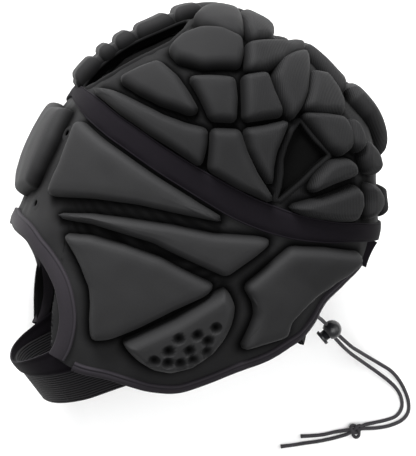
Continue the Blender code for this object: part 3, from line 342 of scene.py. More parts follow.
KNOT, KNOT_SIZE = (356.0, 430.2, 0.0037), (0.00140, 0.00165, 0.00120)
LOCK = (332.0, 329.5, 0.0445)
LACING_PLACES = (3, 7, 11)
GUSSET_GAP, LACE_GAP, EXIT_STEP = 0.0010, 0.0008, 0.0020


def over_surface(x, y, height):
    """The world point at a height over the surface that the sheet shows at a place."""
    eye, target = to_world(EYE), to_world(sheet_point(x, y))
    share = (eye[2] - np.asarray(height, float)) / (eye[2] - target[..., 2])
    return eye + (target - eye) * share[..., None]


def route(rows, count):
    """A cord's smooth line through the rows, in the world frame."""
    table = np.array(rows, float)
    return smooth_curve(over_surface(table[:, 0], table[:, 1], table[:, 2]), count)


rim_places = smooth_curve(from_sheet(RIM), 44)
depth = WALL + BINDING_LIFT + BINDING_THICKNESS + GUSSET_GAP
lace = []
for place, side in zip(LACING_PLACES, (-1, 1, 0)):
    angle = math.degrees(math.atan2(rim_places[place][1], rim_places[place][0]))
    lace.append(on_midline(np.array([angle]), np.array([side * (rim_places[place][2] - 0.008)]))[0])
lace = on_shell(smooth_curve(np.array(lace), 60))
LACING = to_world(lifted(lace, CORD_DIAMETER / 2 + LACE_GAP - depth))
first = LACING[-1] + unit(LACING[-1] - LACING[-2]) * EXIT_STEP
table = np.array(EXIT_ROUTE, float)
exit_line = smooth_curve(np.concatenate([first[None], over_surface(*table.T)]), 30)
line_a = np.concatenate([route(STRAND_A, 120), route(TAIL_A, 30)])
line_b = np.concatenate([route(STRAND_B, 110), route(TAIL_B, 40)])
print("exit", round(run_of(exit_line), 3), "strands", round(run_of(line_a), 3), round(run_of(line_b), 3))

# %% [markdown]
# ## Meshes from grids
#
# A surface here is a grid of points, rows by columns. `add_grid` collects grids in one object: it numbers the points
# row by row and joins each four neighbours with a face. Each grid can bring values for its points, which the materials
# read later: `low` is painted shade, for grooves, hollows and the lower flanks of pads, and `edge` is painted
# highlight and wear along crests and edges.

# %% Meshes from grids
class Surface:
    """A growing mesh of grids, with two values for each point: painted shade, as in a groove, and closeness to a pad's
    edge, which sets painted highlight and wear.
    """

    def __init__(self):
        self.points, self.faces, self.low, self.edge, self.count = [], [], [], [], 0

    def add_grid(self, grid, around=False, low=0.0, edge=0.0, keep=None, flip=False):
        """Adds a grid of rows by columns. around joins each row's last point to its first."""
        rows, columns = grid.shape[:2]
        i = np.arange(rows - 1)[:, None]
        j = np.arange(columns if around else columns - 1)[None]
        k = (j + 1) % columns
        quads = np.stack(np.broadcast_arrays(i * columns + j, i * columns + k, (i + 1) * columns + k,
                                             (i + 1) * columns + j), -1).reshape(-1, 4)
        if keep is not None:
            quads = quads[keep.reshape(-1)]
        if flip:
            quads = quads[:, ::-1]
        self.points.append(grid.reshape(-1, 3))
        self.faces.append(quads + self.count)
        self.low.append(np.broadcast_to(low, (rows, columns)).reshape(-1))
        self.edge.append(np.broadcast_to(edge, (rows, columns)).reshape(-1))
        self.count += rows * columns

    def make(self, name, material, world=False, least=None):
        """Builds the object, smooth shaded, with its values as the attributes low and edge. Least is the lowest height
        that a point may have, where a soft pad rests on the floor.
        """
        points = np.concatenate(self.points)
        points = points if world else to_world(points)
        if least is not None:
            points[:, 2] = np.maximum(points[:, 2], least)
        quads = np.concatenate(self.faces)
        mesh = bpy.data.meshes.new(name)
        mesh.vertices.add(len(points))
        mesh.vertices.foreach_set("co", points.astype(np.float32).ravel())
        mesh.loops.add(quads.size)
        mesh.loops.foreach_set("vertex_index", quads.astype(np.int32).ravel())
        mesh.polygons.add(len(quads))
        mesh.polygons.foreach_set("loop_start", np.arange(0, quads.size, 4, dtype=np.int32))
        for key, values in (("low", self.low), ("edge", self.edge)):
            mesh.attributes.new(key, "FLOAT", "POINT").data.foreach_set(
                "value", np.concatenate(values).astype(np.float32))
        mesh.update(calc_edges=True)
        mesh.validate()
        mesh.shade_smooth()
        mesh.materials.append(material)
        piece = bpy.data.objects.new(name, mesh)
        bpy.context.scene.collection.objects.link(piece)
        print(name, len(quads) * 2, "triangles")
        return piece


def single(name, grid, material, world=False, **values):
    """A piece of one grid."""
    surface = Surface()
    surface.add_grid(grid, **values)
    return surface.make(name, material, world=world)


def along_frame(line, out):
    """Unit vectors across a line and out of it, for a line whose outward direction is known roughly."""
    ahead = unit(np.gradient(line, axis=0))
    out = unit(out - (out * ahead).sum(1, keepdims=True) * ahead)
    return np.cross(out, ahead), out


def tube(line, radius, sides=14, flare=0.0):
    """A round tube along a line: at each step a circle of the radius, closed to a point at both ends. Flare widens
    the last few steps, as a cut cord's end spreads.
    """
    across, out = along_frame(line, np.tile((0.31, 0.22, 0.92), (len(line), 1)))
    turn = np.linspace(0, math.tau, sides, endpoint=False)
    size = np.full(len(line), radius)
    size[-4:] += flare * np.array((0.25, 0.6, 0.9, 1.0))
    ring = across[:, None] * np.cos(turn)[None, :, None] + out[:, None] * np.sin(turn)[None, :, None]
    body = line[:, None] + ring * size[:, None, None]
    caps = [np.repeat(line[i][None, None], sides, 1) for i in (0, -1)]
    return np.concatenate([caps[0], body, caps[1]])


def wobble(points, size, seed=0.0):
    """A smooth uneven value from about -1 to 1: three crossing waves of about the given length, in metres."""
    x, y, z = np.moveaxis(np.asarray(points) * (math.tau / size), -1, 0)
    return (np.sin(x + 1.7 * np.sin(0.6 * y + seed) + seed) + np.sin(0.9 * y + 1.4 * np.sin(0.7 * z) + 2 * seed)
            + np.sin(1.1 * z + 1.3 * np.sin(0.8 * x) + 3 * seed)) / 3


# %% [markdown]
# ## Materials
#
# Three node groups give patterns, and the materials set plain numbers on the shader itself. `fine_cloth` gives
# small uneven specks as a knit has them. `ribs` gives the fine parallel ribs of the crown's cloth. The third group
# reads the two values that the meshes carry and gives how dark or light a place is painted: painted shade from the
# first, painted highlight and wear from the second.

# %% Node groups
def node_group(name, inputs, outputs):
    """An empty group with float inputs, given with their start values, and float outputs."""
    group = bpy.data.node_groups.new(name, "ShaderNodeTree")
    for key, value in inputs.items():
        group.interface.new_socket(key, in_out="INPUT", socket_type="NodeSocketFloat").default_value = value
    for key in outputs:
        group.interface.new_socket(key, in_out="OUTPUT", socket_type="NodeSocketFloat")
    return group, group.nodes.new("NodeGroupInput"), group.nodes.new("NodeGroupOutput")


def math_node(tree, operation, a, b=None):
    """A math node fed with sockets or numbers."""
    node = tree.nodes.new("ShaderNodeMath")
    node.operation = operation
    for socket, value in zip(node.inputs, (a, b)):
        if value is None:
            continue
        if isinstance(value, (int, float)):
            socket.default_value = value
        else:
            tree.links.new(value, socket)
    return node.outputs[0]


def times(tree, a, b):
    """The product of two sockets or numbers."""
    return math_node(tree, "MULTIPLY", a, b)


def plus(tree, a, b):
    """The sum of two sockets or numbers."""
    return math_node(tree, "ADD", a, b)


def noise_node(tree, vector, scale, detail=3.0):
    """A noise texture's value at a position."""
    node = tree.nodes.new("ShaderNodeTexNoise")
    node.inputs["Scale"].default_value = scale
    node.inputs["Detail"].default_value = detail
    tree.links.new(vector, node.inputs["Vector"])
    return node.outputs["Fac"]


fine_cloth, given, result = node_group("fine_cloth", {"Speck": 0.25}, ("Height", "Tone"))
place = fine_cloth.nodes.new("ShaderNodeTexCoord").outputs["Object"]
threads = noise_node(fine_cloth, place, 2600.0, 2.0)
blotches = noise_node(fine_cloth, place, 75.0, 4.0)
fuzz = noise_node(fine_cloth, place, 900.0, 2.0)
height = plus(fine_cloth, times(fine_cloth, threads, 0.6), times(fine_cloth, fuzz, 0.4))
fine_cloth.links.new(height, result.inputs["Height"])
uneven = plus(fine_cloth, times(fine_cloth, fuzz, 0.65), times(fine_cloth, blotches, 0.35))
spread = math_node(fine_cloth, "SUBTRACT", uneven, 0.5)
fine_cloth.links.new(plus(fine_cloth, times(fine_cloth, spread, given.outputs["Speck"]), 1.0), result.inputs["Tone"])

ribs, given, result = node_group("ribs", {"Pitch": 0.0011, "Along": 0.0, "Start": 0.006}, ("Height",))
split = ribs.nodes.new("ShaderNodeSeparateXYZ")
ribs.links.new(ribs.nodes.new("ShaderNodeTexCoord").outputs["Object"], split.inputs[0])
place = plus(ribs, split.outputs["X"], times(ribs, split.outputs["Y"], given.outputs["Along"]))
phase = math_node(ribs, "DIVIDE", place, given.outputs["Pitch"])
wave = math_node(ribs, "SINE", times(ribs, phase, math.tau))
fade = math_node(ribs, "DIVIDE", math_node(ribs, "SUBTRACT", split.outputs["X"], given.outputs["Start"]), 0.03)
fade.node.use_clamp = True
ribs.links.new(times(ribs, wave, fade), result.inputs["Height"])

painted_shade_highlight_and_wear, given, result = node_group("painted_shade_highlight_and_wear", {"Dark": 0.6, "Wear_And_Highlight": 0.3}, ("Tone",))
values = []
for key in ("low", "edge"):
    reader = painted_shade_highlight_and_wear.nodes.new("ShaderNodeAttribute")
    reader.attribute_name = key
    values.append(reader.outputs["Fac"])
# The low value darkens the colour, as painted shade; the edge value lightens it, as painted highlight and wear.
darker = math_node(painted_shade_highlight_and_wear, "SUBTRACT", 1.0, times(painted_shade_highlight_and_wear, values[0], given.outputs["Dark"]))
lighter = times(painted_shade_highlight_and_wear, values[1], given.outputs["Wear_And_Highlight"])
painted_shade_highlight_and_wear.links.new(plus(painted_shade_highlight_and_wear, darker, lighter), result.inputs["Tone"])
THREAD_BUMP, RIB_TONE = 0.00012, 0.16


def cloth(name, colour, roughness, sheen, speck, bump, dark=0.0, wear_and_highlight=0.0, rib_pitch=None, rib_bump=0.0, along=0.0,
          shine=0.16):
    """A cloth material: its colour times the tones of the groups, its bump from the threads and ribs. The painted
    shade darkens it by dark, the painted highlight and wear lighten it, and where it is painted in shade it also shines
    less.
    """
    material = bpy.data.materials.new(name)
    material.use_nodes = True
    tree = material.node_tree
    shader = tree.nodes["Principled BSDF"]
    shader.inputs["Roughness"].default_value = roughness
    shader.inputs["Sheen Weight"].default_value = sheen
    shader.inputs["Sheen Roughness"].default_value = 0.5
    threads = tree.nodes.new("ShaderNodeGroup")
    threads.node_tree = fine_cloth
    threads.inputs["Speck"].default_value = speck
    tone = tree.nodes.new("ShaderNodeGroup")
    tone.node_tree = painted_shade_highlight_and_wear
    tone.inputs["Dark"].default_value, tone.inputs["Wear_And_Highlight"].default_value = dark, wear_and_highlight
    shade = times(tree, threads.outputs["Tone"], tone.outputs["Tone"])
    height = times(tree, threads.outputs["Height"], THREAD_BUMP)
    if rib_pitch:
        rib = tree.nodes.new("ShaderNodeGroup")
        rib.node_tree = ribs
        rib.inputs["Pitch"].default_value, rib.inputs["Along"].default_value = rib_pitch, along
        height = plus(tree, height, times(tree, rib.outputs["Height"], rib_bump))
        # The ribs are painted lighter on their tops and darker between them: painted highlight and painted shade.
        shade = times(tree, shade, plus(tree, times(tree, rib.outputs["Height"], RIB_TONE), 1.0))
    mix = tree.nodes.new("ShaderNodeVectorMath")
    mix.operation = "SCALE"
    mix.inputs[0].default_value = colour
    tree.links.new(shade, mix.inputs["Scale"])
    tree.links.new(mix.outputs[0], shader.inputs["Base Color"])
    # Specular follows the same tone, so the painted shade also dims the reflections.
    tree.links.new(times(tree, tone.outputs["Tone"], shine), shader.inputs["Specular IOR Level"])
    relief = tree.nodes.new("ShaderNodeBump")
    relief.inputs["Strength"].default_value = bump
    relief.inputs["Distance"].default_value = 1.0
    tree.links.new(height, relief.inputs["Height"])
    tree.links.new(relief.outputs[0], shader.inputs["Normal"])
    return material


# %% [markdown]
# The side pads are a smooth dark knit. The crown's is a little darker, with fine ribs. The tape is a purplish black
# cloth, the bindings are a lighter weave, and the lining is nearly black. The lock is satin plastic.

# %% Materials
side_knit = cloth("side_knit", (0.0106, 0.0106, 0.0111), 0.75, 0.015, 0.5, 0.6, dark=1.0, wear_and_highlight=0.14)
crown_knit = cloth("crown_knit", (0.0074, 0.0074, 0.0078), 0.75, 0.015, 0.5, 0.6, dark=1.0, wear_and_highlight=0.14,
                   rib_pitch=0.0011, rib_bump=0.00014, shine=0.12)
tape_weave = cloth("tape_weave", (0.0036, 0.0028, 0.0042), 0.85, 0.006, 0.5, 0.7, dark=0.7, wear_and_highlight=0.5, shine=0.07)
black_lining = cloth("black_lining", (0.0022, 0.0022, 0.0022), 0.95, 0.0, 0.3, 0.5, shine=0.02)
binding_weave = cloth("binding_weave", (0.0115, 0.0098, 0.0125), 0.85, 0.03, 0.5, 0.7, dark=0.5, wear_and_highlight=0.5)
web = cloth("web", (0.0070, 0.0065, 0.0075), 0.8, 0.03, 0.5, 0.6, dark=0.75, wear_and_highlight=1.0)
braid = cloth("braid", (0.042, 0.040, 0.044), 0.8, 0.04, 0.6, 0.8)

satin = bpy.data.materials.new("satin_plastic")
satin.use_nodes = True
shader = satin.node_tree.nodes["Principled BSDF"]
shader.inputs["Base Color"].default_value = (0.010, 0.010, 0.012, 1.0)
place = satin.node_tree.nodes.new("ShaderNodeTexCoord").outputs["Object"]
grain = noise_node(satin.node_tree, place, 500.0)
rough = plus(satin.node_tree, times(satin.node_tree, grain, 0.2), 0.22)
satin.node_tree.links.new(rough, shader.inputs["Roughness"])
print("materials:", len(bpy.data.materials))

# %% [markdown]
# ## Padded forms
#
# Each pad is a raised block with a rounded shoulder. Its surface is a grid: one way round its outline, the other way
# inwards to a spine in the pad's middle. At each place the true distance to the outline sets the height,
# which rises as a quarter circle over the shoulder and then swells a little more, as foam under cloth does.

# %% Padded forms
PAD_SUNK, SWELL_REACH, PIT_RADIUS, PIT_DEPTH = 0.0008, 0.009, 0.0036, 0.0030
# Painted shade on the membranes: a little everywhere, much more within a few millimetres of a pad.
OPEN_TONE, GROOVE_TONE, GROOVE_REACH = 0.18, 0.76, 0.0044
OFF_MIDLINE = 0.00225


def rounded(outline, step, soft):
    """An outline resampled at even steps, its corners rounded by averaging over a short run."""
    closed = np.concatenate([outline, outline[:1]])
    count = max(40, int(run_of(closed) / step))
    line = even_steps(closed, count, True)
    reach = max(1, int(round(soft / step)))
    weights = np.cos(np.linspace(-math.pi / 2, math.pi / 2, 2 * reach + 3))[1:-1]
    line = sum(w * np.roll(line, k - reach, axis=0) for k, w in enumerate(weights)) / weights.sum()
    return on_shell(even_steps(np.concatenate([line, line[:1]]), count, True))


def gap_to(line, points, closed=True):
    """Distance from each point to a line of close points."""
    start = line if closed else line[:-1]
    edge = (np.roll(line, -1, axis=0) if closed else line[1:]) - start
    size = (edge**2).sum(-1)
    flat = points.reshape(-1, 3)
    result = np.empty(len(flat))
    for i in range(0, len(flat), 2000):
        part = flat[i:i + 2000]
        share = np.clip(((part[:, None] - start[None]) * edge[None]).sum(-1) / size, 0, 1)
        result[i:i + 2000] = np.linalg.norm(part[:, None] - start[None] - share[..., None] * edge[None], axis=-1).min(1)
    return result.reshape(points.shape[:-1])


def pushed_off(points, lines):
    """Points moved off the lines that they come too near. Each line brings its clear distance, one for each step."""
    for line, clear in lines:
        edge = line[1:] - line[:-1]
        share = ((points[:, None] - line[None, :-1]) * edge[None]).sum(-1) / (edge**2).sum(-1)
        spots = line[None, :-1] + np.clip(share, 0, 1)[..., None] * edge[None]
        gaps = np.linalg.norm(points[:, None] - spots, axis=-1)
        best = gaps.argmin(1)
        spot, gap = spots[np.arange(len(points)), best], gaps.min(1)
        short = np.maximum(np.broadcast_to(clear, len(line))[best] - gap, 0)
        points = on_shell(points + (points - spot) * (short / np.maximum(gap, 1e-6))[:, None])
    return points


def runs_clockwise(outline):
    """Whether an outline runs clockwise as seen from outside, so that its faces must be turned over to face out."""
    middle = outline.mean(0)
    turned = np.cross(outline - middle, np.roll(outline, -1, axis=0) - middle).sum(0)
    return bool((turned * middle).sum() < 0)


def inward(outline):
    """Unit directions along the shell from an outline to its inside."""
    ahead = np.roll(outline, -1, axis=0) - np.roll(outline, 1, axis=0)
    across = unit(np.cross(shell_normal(outline), ahead))
    return across * (-1.0 if runs_clockwise(outline) else 1.0)


def pad_grid(outline, height, shoulder, inner_steps, swell=0.0012):
    """Grid of a pad, its distance from the outline and its heights. A spine runs along the pad's middle, and each
    point of the outline is joined to the spine's point beside it.
    """
    middle = outline.mean(0)
    away = outline - middle
    axis = np.linalg.svd(away, full_matrices=False)[2][0]
    other = unit(np.cross(shell_normal(on_shell(middle[None]))[0], axis))
    along, across = away @ axis, away @ other
    stations = np.linspace(0.5 * along.min(), 0.5 * along.max(), 11)
    near = [across[np.abs(along - s) < 0.0016 + 0.02 * np.ptp(along)] for s in stations]
    centre = np.array([(part.min() + part.max()) / 2 for part in near])
    centre = np.convolve(np.pad(centre, 1, mode="edge"), (0.25, 0.5, 0.25), mode="valid")
    place = np.clip(along, stations[0], stations[-1])
    target = on_shell(middle + place[:, None] * axis + np.interp(place, stations, centre)[:, None] * other)
    ray = target - outline
    length = np.linalg.norm(ray, axis=1)
    ahead = unit(np.roll(outline, -1, axis=0) - np.roll(outline, 1, axis=0))
    rate = np.maximum(np.linalg.norm(np.cross(ray, ahead), axis=1), 0.15 * length)
    slope = shoulder * (1 - np.cos(np.linspace(0, math.pi / 2, 6)))
    first = np.minimum(slope[:, None] / rate[None], np.linspace(0, 0.7, 6)[:, None])
    rest = first[-1:] + (1 - first[-1:]) * np.linspace(0, 1, inner_steps + 1)[1:, None]
    share = np.concatenate([first, rest])[..., None]
    grid = on_shell(outline[None] * (1 - share) + target[None] * share)
    gap = gap_to(outline, grid)
    gap[0] = 0.0
    room = max(float(gap.max()), 1e-4)
    share = np.clip(gap / min(shoulder, 0.75 * room), 0, 1)
    rise = np.sqrt(1 - (1 - share) ** 2)
    full = np.clip(gap / min(max(room, 0.004), SWELL_REACH), 0, 1)
    lift = height * rise + swell * full * (2 - full) * rise
    return grid, gap, lift


def add_pad(surface, outline, height, shoulder, inner_steps, both=True, uneven=0.00022, swell=0.0012, pits=()):
    """Adds a pad to a surface, and its mirror image. Its lowest row is sunk a little into the membrane. Pits are the
    middles of round hollows in its top.
    """
    grid, gap, lift = pad_grid(outline, height, shoulder, inner_steps, swell)
    lift = lift + uneven * wobble(grid, 0.021, 1.3) * np.clip(gap / 0.003, 0, 1)
    # Painted shade: the lower a place lies on the pad's flank, the darker it is painted. Painted highlight: the edge
    # value peaks on the shoulder's crest all round.
    low = 0.95 * (1 - np.clip(lift / (0.95 * height), 0, 1)) ** 0.9
    edge = np.exp(-((gap - 0.6 * shoulder) / (0.7 * shoulder)) ** 2)
    for pit in pits:
        away = np.linalg.norm(grid - pit, axis=-1)
        sink = np.clip(1 - (away / PIT_RADIUS) ** 2, 0, 1)
        lift = lift - PIT_DEPTH * np.sqrt(sink) * (away < PIT_RADIUS)
        # Each pit is painted dark inside: painted shade in the hollow.
        low = np.maximum(low, 0.95 * sink)
    lift[0] = -PAD_SUNK
    shape = lifted(grid, lift)
    turn = runs_clockwise(outline)
    surface.add_grid(shape, around=True, low=low, edge=edge, flip=turn)
    if both:
        surface.add_grid(mirrored(shape), around=True, low=low, edge=edge, flip=not turn)


def grown(outline, distance):
    """An outline moved outwards along the shell."""
    return on_shell(outline - inward(outline) * distance)


def midline_outline(front, rear, front_half, rear_half):
    """A pad or vent across the mid-line, as a rounded quadrangle between two angles."""
    centre, middle = (front + rear) / 2, (front_half + rear_half) / 2 * 1.06
    left = ((front, front_half), (centre, middle), (rear, rear_half), (rear, 0.4 * rear_half))
    rows = [(front, 0.0), *left, *((angle, -offset) for angle, offset in left[::-1])]
    angles, offsets = np.array(rows).T
    return on_midline(angles, offsets)


def left_outline(rows, height):
    """A pad's outline on the left half, kept off the mid-line."""
    loop = from_sheet(rows, height)
    loop[:, 2] = np.maximum(loop[:, 2], OFF_MIDLINE)
    return on_shell(loop)


def near_pads(points, outlines, reach=0.008):
    """Distance from each point to the nearest pad's outline, up to a reach."""
    flat = points.reshape(-1, 3)
    result = np.full(len(flat), reach)
    for line in outlines:
        middle = line.mean(0)
        close = np.linalg.norm(flat - middle, axis=1) < np.linalg.norm(line - middle, axis=1).max() + reach
        if close.any():
            result[close] = np.minimum(result[close], gap_to(line, flat[close]))
    return result.reshape(points.shape[:-1])


def painted_groove_shade(points, outlines):
    """How much painted shade a place of the membrane gets: nearly black beside a pad, where the groove falls into
    shade, lighter on open stretches.
    """
    return OPEN_TONE + GROOVE_TONE * np.exp(-((near_pads(points, outlines) / GROOVE_REACH) ** 2))


print("shoulder heights:", [round(math.sqrt(1 - (1 - s) ** 2), 2) for s in (0, 0.25, 0.5, 1)])

# %% [markdown]
# ## Crown
#
# The crown is one moulded panel. Between its pads lies a thin membrane with slits and vents cut through. The
# membrane is a grid from the seam to a point near the top. Faces that lie in an opening are left out, and a rolled
# lip runs round each opening, so its edge is clean.

# %% Crown pads and openings
MIDLINE_PADS = (
    ("front_1", 136.5, 126.6, 0.0110, 0.0110),
    ("front_2", 124.9, 120.6, 0.0110, 0.0110),
    ("front_3", 118.9, 113.4, 0.0110, 0.0110),
    ("front_4", 111.7, 100.6, 0.0110, 0.0120),
    ("front_5", 98.9, 91.5, 0.0140, 0.0080),
    ("rear_1", 59.5, 43.0, 0.022, 0.043),
    ("nape_1", 6.0, -3.2, 0.016, 0.017),
)
REAR_PAD = (
    (41.0, 0.0050), (41.5, 0.0300), (38.0, 0.0400), (31.0, 0.0400), (24.0, 0.0300), (17.0, 0.0190), (15.0, 0.0150),
    (21.0, 0.0135), (27.0, 0.0120), (30.0, 0.0050),
)
CROWN_PADS = {
    "top_1": ((196, 21), (203, 14), (212, 8), (231, 8), (237, 16), (241, 30), (240, 38), (226, 34), (206, 27)),
    "top_2": ((240, 9), (250, 14), (264, 24), (271, 33), (268, 40), (252, 40), (247, 33), (243, 20)),
    "upper_1": ((171, 50), (184, 38), (203, 31), (222, 32), (240, 40), (241, 52), (238, 64), (203, 65), (179, 59)),
    "upper_2": ((247, 45), (262, 43), (282, 45), (300, 48), (301, 52), (280, 62), (262, 68), (247, 69)),
    "front_side": ((122, 80), (142, 69), (159, 63), (175, 76), (187, 93), (196, 109), (189, 111), (160, 101),
                   (140, 91)),
    "tape_side": ((96, 90), (112, 92), (140, 105), (162, 116), (184, 124), (205, 129), (204, 145), (199, 163),
                  (180, 150), (150, 131), (120, 110)),
    "middle_1": ((191, 77), (233, 78), (235, 97), (234, 118), (212, 117), (203, 97)),
    "middle_2": ((244, 76), (265, 73), (273, 92), (280, 107), (281, 113), (245, 118)),
    "middle_3": ((280, 60), (301, 54), (305, 60), (306, 76), (305, 92), (300, 105), (291, 117), (282, 98),
                 (274, 77)),
    "lower_1": ((213, 129), (238, 130), (245, 151), (256, 174), (267, 191), (272, 200), (239, 185), (210, 168),
                (212, 147)),
    "lower_2": ((246, 129), (266, 126), (287, 121), (281, 136), (275, 150), (272, 166), (271, 183), (259, 164),
                (251, 148)),
    "vent_above": ((310, 73), (322, 76), (333, 90), (341, 105), (341, 114), (321, 112), (304, 107), (309, 90)),
    "vent_behind": ((304, 114), (325, 115), (342, 119), (350, 132), (350, 146), (341, 153), (332, 148), (321, 134)),
    "rear_flank_1": ((347, 121), (354, 124), (359, 134), (361, 145), (357, 150), (351, 143)),
    "rear_flank_2": ((363, 141), (369, 146), (374, 155), (376, 166), (373, 172), (365, 169), (361, 157)),
    "rear_low_1": ((317, 176), (331, 162), (346, 159), (353, 164), (355, 173), (336, 180), (316, 189), (311, 189)),
    "rear_low_2": ((292, 207), (318, 200), (338, 193), (354, 186), (359, 192), (360, 206), (355, 219), (340, 219),
                   (312, 215)),
    "rear_low_3": ((366, 184), (373, 186), (377, 196), (377, 206), (372, 216), (366, 217), (367, 200)),
}
SIDE_VENT = (
    (300, 122), (307, 132), (316, 143), (328, 155), (314, 167), (300, 181), (287, 192), (277, 200), (281, 188),
    (283, 174), (283, 160), (287, 146), (293, 132),
)
FRONT_SLIT = (
    (135.5, 0.0140, 0.0200), (132.0, 0.0128, 0.0320), (126.0, 0.0128, 0.0390), (120.0, 0.0130, 0.0420),
    (112.0, 0.0138, 0.0440), (105.0, 0.0148, 0.0425), (99.5, 0.0165, 0.0350), (97.0, 0.0195, 0.0250),
)
VENT_STEP, VENT_SOFT, REAR_VENT_SOFT = 0.0010, 0.0012, 0.002
slit = np.array(FRONT_SLIT)
slit = on_midline(np.concatenate([slit[:, 0], slit[::-1, 0]]), np.concatenate([slit[:, 1], slit[::-1, 2]]))
LEFT_VENTS = [rounded(on_shell(from_sheet(SIDE_VENT)), VENT_STEP, VENT_SOFT), rounded(slit, VENT_STEP, VENT_SOFT)]
REAR_VENT = rounded(midline_outline(26.5, 9.0, 0.009, 0.009), VENT_STEP, REAR_VENT_SOFT)
VENTS = LEFT_VENTS + [mirrored(v) for v in LEFT_VENTS] + [REAR_VENT]
print("pads:", 2 * len(CROWN_PADS) + len(MIDLINE_PADS), "openings:", len(VENTS))

# %% The crown's surface
def inside_loop(loop, points):
    """Which points of the shell lie inside a closed outline, tested on the plane that faces the outline's middle."""
    middle = loop.mean(0)
    normal = unit(middle)
    side = unit(np.cross(normal, (0.31, 0.2, 0.93)))
    plane = np.stack([side, np.cross(normal, side)])
    flat, ring = points.reshape(-1, 3) @ plane.T, loop @ plane.T
    near = (points.reshape(-1, 3) @ normal > 0) & (np.abs(flat - ring.mean(0)).max(1) < np.ptp(ring, axis=0).max())
    found = np.zeros(len(flat), bool)
    x, y = flat[near, 0][:, None], flat[near, 1][:, None]
    x0, y0 = ring[:, 0][None], ring[:, 1][None]
    x1, y1 = np.roll(ring[:, 0], -1)[None], np.roll(ring[:, 1], -1)[None]
    crosses = (y0 > y) != (y1 > y)
    found[near] = (crosses & (x < (x1 - x0) * (y - y0) / np.where(y1 == y0, 1, y1 - y0) + x0)).sum(1) % 2 == 1
    return found.reshape(points.shape[:-1])


# Rows of a rolled and of a punched edge: across, height and painted shade, which grows down into the opening.
ROLLED = ((-0.0035, -0.0002, 0.5), (-0.0022, 0.0007, 0.45), (-0.0008, 0.0009, 0.4), (0.0002, 0.0004, 0.7),
          (0.0006, -0.0008, 1.0), (0.0004, -0.0045, 1.0))
PUNCHED = ((-0.0036, -0.0002, 0.3), (-0.0012, 0.0003, 0.3), (-0.0002, 0.0001, 0.5), (0.0001, -0.0005, 1.0),
           (0.0001, -0.0045, 1.0))


def lip(surface, outline, rows=ROLLED):
    """The edge of an opening, from the membrane down the panel's thickness. Each row gives how far in it lies, its
    height and how much painted shade it gets, darkest down in the opening.
    """
    into = inward(outline)
    grid = np.stack([lifted(on_shell(outline + into * a), b) for a, b, _ in rows])
    surface.add_grid(grid, around=True, low=np.array([c for _, _, c in rows])[:, None], flip=runs_clockwise(outline))


TAPE_CLEAR, TAPE_SINK, CROWN_GROW, SIDE_GROW, GROOVE_HEIGHT = -0.0004, 0.92, 0.0020, 0.0016, 0.0030
CROWN_STEP, CROWN_SOFT, CROWN_SHOULDER = 0.0010, 0.0016, 0.0052
SIDE_STEP, SIDE_SOFT, SIDE_SHOULDER = 0.0013, 0.0022, 0.0042
CUT_BACK = 0.0022  # the membrane's faces end this far from an opening, under its lip
RESTING = 0.0002  # least height of a soft pad over the floor
SEAM_GAP, POLE_ANGLE, MEMBRANE_ROWS = 0.0004, 62.0, 110
FRONT_BASE, FRONT_BASE_HEIGHT = (137.0, 91.5, 0.0118, 0.0100), 0.0060
crown = Surface()
seam = beside(RING, CROWN_SIDE * SEAM_GAP, True)[::2]
pole = on_midline(POLE_ANGLE)
shares = np.linspace(1.0, 0.0, MEMBRANE_ROWS)[:, None, None]
membrane = on_shell(seam[None] * shares + pole[None, None] * (1 - shares))
centres = (membrane[:-1] + membrane[1:]) / 2
centres = on_shell((centres + np.roll(centres, -1, axis=1)) / 2)
keep = np.ones(centres.shape[:2], bool)
for vent in VENTS:
    keep &= ~inside_loop(grown(vent, CUT_BACK), centres)
    lip(crown, vent)
crown_lines = [(CLOSED_RING[::4], np.concatenate([RING_WIDTH, RING_WIDTH[:1]])[::4] / 2 + TAPE_CLEAR)]
middle_outlines = [pushed_off(grown(rounded(midline_outline(*row), CROWN_STEP, CROWN_SOFT), CROWN_GROW), crown_lines)
                   for _, *row in MIDLINE_PADS]
left_outlines = [pushed_off(grown(rounded(left_outline(rows, GROOVE_HEIGHT), CROWN_STEP, CROWN_SOFT), CROWN_GROW),
                            crown_lines) for rows in CROWN_PADS.values()]
for outline in middle_outlines:
    add_pad(crown, outline, CROWN_PAD, CROWN_SHOULDER, 7, both=False)
for outline in left_outlines:
    add_pad(crown, outline, CROWN_PAD, CROWN_SHOULDER, 7)
rear_pad = rounded(on_midline(*np.array(REAR_PAD).T), CROWN_STEP, CROWN_SOFT)
left_outlines.append(rear_pad)
add_pad(crown, rear_pad, CROWN_PAD, CROWN_SHOULDER, 7, swell=0.0030)
base = rounded(midline_outline(*FRONT_BASE), 0.0012, CROWN_SOFT)
add_pad(crown, base, FRONT_BASE_HEIGHT, 0.0040, 5, both=False, swell=0.0)
puckers = 0.00035 * wobble(membrane, 0.012, 0.4)
# Painted shade: the crown's membrane is darker the nearer it lies to a pad.
crown_dark = painted_groove_shade(membrane, middle_outlines + left_outlines + [mirrored(line) for line in left_outlines])
crown.add_grid(lifted(membrane, puckers), around=True, low=crown_dark, keep=keep, flip=CROWN_SIDE > 0)
crown_surface = crown.make("crown_surface", crown_knit, least=RESTING)

# %% [markdown]
# ## Sides
#
# The side panel wraps from one rear edge over the brow to the other. Its grid runs one way along the lower edge and
# the face edge, the other way up to the seam under the tape. An inner skin lies a wall's thickness inside.

